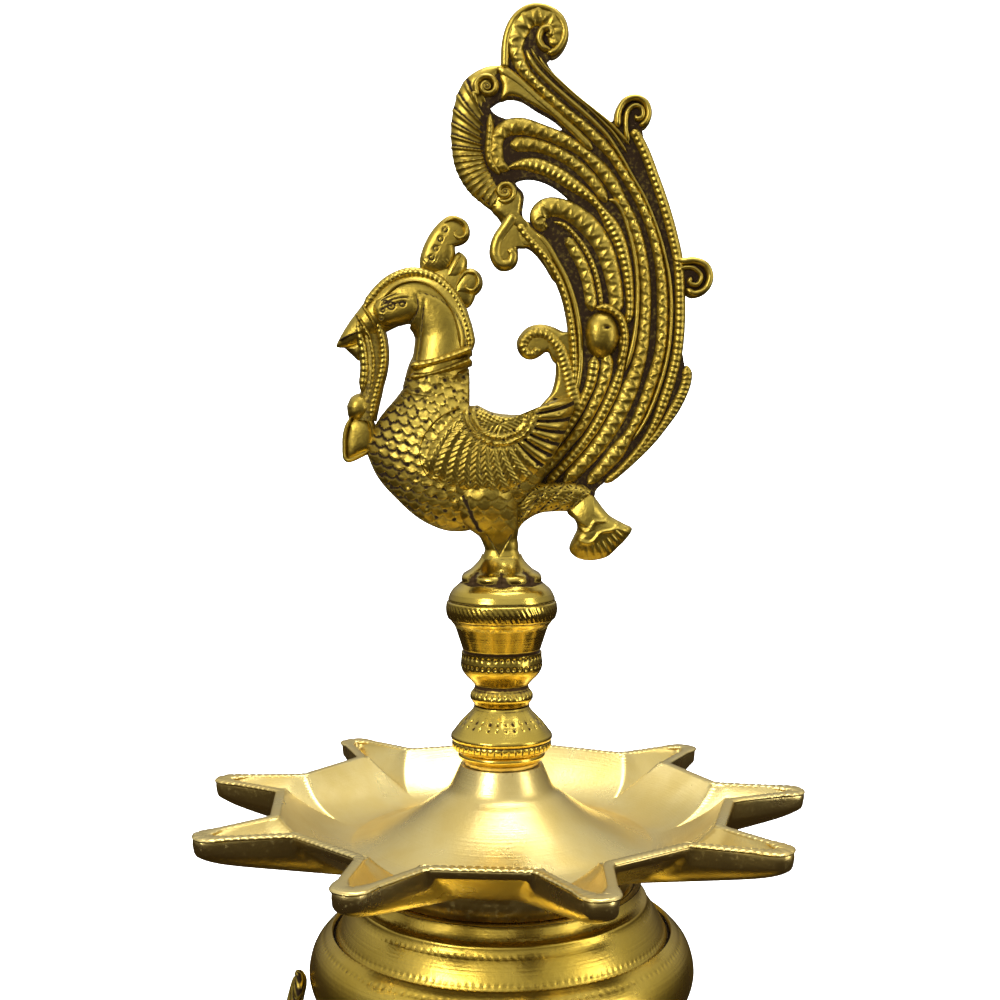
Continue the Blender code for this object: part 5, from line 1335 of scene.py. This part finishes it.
def fan_chasing(x, z):
    """Arcs round the fan's stalk with fine rays beyond the last one, and pits near the stalk."""
    far = np.hypot(x - 33, z - 24)
    ray = np.arctan2(z - 24, x - 33)
    arcs = (np.exp(-((far - 13 - 1.2 * np.cos(ray * 9)) / 0.7) ** 2)
            + np.exp(-((far - 18 - 1.2 * np.cos(ray * 9)) / 0.7) ** 2))
    rays = np.clip(np.cos(ray * 52), 0, 1) ** 2 * (far > 20)
    return 0.6 * arcs - 0.35 * rays, np.clip(0.4 * rays + 0.5 * np.exp(-((far - 15) / 0.8) ** 2), 0, 1)


feathers.append(pad_sheet(fan_outline, 6.4, (39, 10), 40, 0.6, 3.0, fan_chasing))
root_outline = [(-2, 24), (3, 28), (12, 30), (24, 30.5), (33, 30), (38.4, 27), (37, 23), (31, 18.4),
                (23, 17.8), (16, 17), (9.6, 13.4), (4.6, 8), (1, 14)]


def root_chasing(x, z):
    """A rough, pitted patch where tail, thigh and fan meet, with a few slanting cuts."""
    pit = np.sin(x * 1.9 + 1.3 * np.sin(z * 1.1)) * np.sin(z * 2.3 + 1.7 * np.sin(x * 0.9))
    cut = np.clip(np.cos(2 * math.pi * (x * 0.75 - z * 0.66) / 4.4), 0, 1) ** 4
    return -0.9 * np.clip(pit - 0.35, 0, 1) - 0.6 * cut, np.clip(1.5 * (pit - 0.3), 0, 1) + 0.6 * cut


feathers.append(pad_sheet(root_outline, 8.6, (17, 27), 40, 0.5, 2.6, root_chasing))
cast_piece("peacock_tail_feathers", "finial", cast_brass, feathers)


# ---------------------------------------------------------------- floor, lights and camera

# A seamless pale sweep under and behind the lamp, three soft boxes round the lamp and two on the backdrop,
# and a camera level with the bird's back.

def sweep(width, front, back, rise, radius):
    """A floor that bends up into a backdrop: a straight run, a quarter circle and a straight wall, carried
    sideways."""
    turn = np.linspace(0, math.pi / 2, 24)
    line = np.vstack([[(front, 0)], np.stack([back - radius + radius * np.sin(turn),
                                              radius - radius * np.cos(turn)], 1), [(back, rise)]])
    side = np.linspace(-width, width, 2)
    points = np.stack([np.broadcast_to(side, (len(line), 2)), np.broadcast_to(line[:, :1], (len(line), 2)),
                       np.broadcast_to(line[:, 1:], (len(line), 2))], axis=2)
    index = np.arange(len(line) * 2).reshape(-1, 2)
    faces = np.stack([index[:-1, 0], index[:-1, 1], index[1:, 1], index[1:, 0]], axis=1)
    mesh = bpy.data.meshes.new("floor_sweep")
    mesh.from_pydata(points.reshape(-1, 3), [], faces.tolist())
    mesh.shade_smooth()
    return mesh


floor_paint = bpy.data.materials.new("pale_floor")
floor_paint.use_nodes = True
floor_tree = floor_paint.node_tree
floor_shader = floor_tree.nodes["Principled BSDF"]
floor_noise = floor_tree.nodes.new("ShaderNodeTexNoise")
floor_noise.inputs["Scale"].default_value = 3
floor_mix = floor_tree.nodes.new("ShaderNodeMix")
floor_mix.data_type = "RGBA"
floor_mix.inputs[6].default_value = (0.93, 0.93, 0.92, 1)
floor_mix.inputs[7].default_value = (0.96, 0.96, 0.955, 1)
floor_tree.links.new(floor_noise.outputs["Fac"], floor_mix.inputs["Factor"])
floor_tree.links.new(floor_mix.outputs[2], floor_shader.inputs["Base Color"])
floor_shader.inputs["Roughness"].default_value = 0.9
floor_shader.inputs["Emission Color"].default_value = (1, 1, 1, 1)
floor_shader.inputs["Emission Strength"].default_value = 1.0
floor_mesh = sweep(4.0, -3.0, 2.6, 4.5, 1.2)
floor_mesh.materials.append(floor_paint)
floor = bpy.data.objects.new("floor_sweep", floor_mesh)
floor.visible_glossy = False
bpy.context.scene.collection.objects.link(floor)

# The room: bright overhead, dim at the horizon and dark below, so that the brass has something to reflect.
world = bpy.data.worlds.new("studio")
bpy.context.scene.world = world
world.use_nodes = True
sky = world.node_tree
background = sky.nodes["Background"]
facing = sky.nodes.new("ShaderNodeTexCoord")
split = sky.nodes.new("ShaderNodeSeparateXYZ")
room = sky.nodes.new("ShaderNodeValToRGB")
lift = sky.nodes.new("ShaderNodeMapRange")
lift.inputs["From Min"].default_value = -1
sky.links.new(facing.outputs["Generated"], split.inputs[0])
sky.links.new(split.outputs[2], lift.inputs["Value"])
sky.links.new(lift.outputs[0], room.inputs[0])
sky.links.new(room.outputs[0], background.inputs["Color"])
room_tones = ((0.0, (0.025, 0.016, 0.008)), (0.44, (0.04, 0.028, 0.016)), (0.53, (0.21, 0.19, 0.15)),
              (0.66, (0.42, 0.41, 0.38)), (0.8, (0.72, 0.71, 0.68)), (1.0, (0.9, 0.89, 0.86)))
while len(room.color_ramp.elements) < len(room_tones):
    room.color_ramp.elements.new(0.5)
for stop, (place, tone) in zip(room.color_ramp.elements, room_tones):
    stop.position = place
    stop.color = (*tone, 1)
background.inputs["Strength"].default_value = 1.0
bpy.context.scene.view_settings.view_transform = "Standard"


def soft_box(name, place, target, width, height, power, colour=(1, 1, 1)):
    """A rectangular area light that faces the target."""
    light = bpy.data.lights.new(name, "AREA")
    light.shape = "RECTANGLE"
    light.size = width
    light.size_y = height
    light.energy = power
    light.color = colour
    lamp = bpy.data.objects.new(name, light)
    lamp.location = place
    lamp.rotation_euler = (Vector(target) - Vector(place)).to_track_quat("-Z", "Y").to_euler()
    bpy.context.scene.collection.objects.link(lamp)
    return lamp


rim_height = rim_plane * MM
middle = (0, 0, rim_height + 0.1)
soft_box("key_left_front", (-0.8, -1.1, rim_height + 0.7), middle, 0.5, 0.5, 12, (1, 0.95, 0.86))
soft_box("fill_right", (1.2, -0.5, rim_height + 0.35), middle, 0.35, 0.9, 5, (1, 0.97, 0.9))
soft_box("top", (0.1, 0.1, rim_height + 1.2), middle, 0.8, 0.8, 10.5)
soft_box("wall_left", (-1.2, 1.4, 1.3), (0, 2.6, 1.0), 1.2, 1.2, 30)
soft_box("wall_right", (1.2, 1.4, 1.3), (0, 2.6, 1.0), 1.2, 1.2, 30)

camera_distance = 0.588
camera_height = rim_height + 0.160
camera_data = bpy.data.cameras.new("camera")
camera_data.sensor_width = 36
camera_data.lens = 50.4
camera_data.shift_x = -0.0016
camera_data.shift_y = -0.084
camera_data.clip_end = 50
camera = bpy.data.objects.new("camera", camera_data)
camera.location = (0, -camera_distance, camera_height)
camera.rotation_euler = (math.pi / 2, 0, 0)
bpy.context.scene.collection.objects.link(camera)
bpy.context.scene.camera = camera
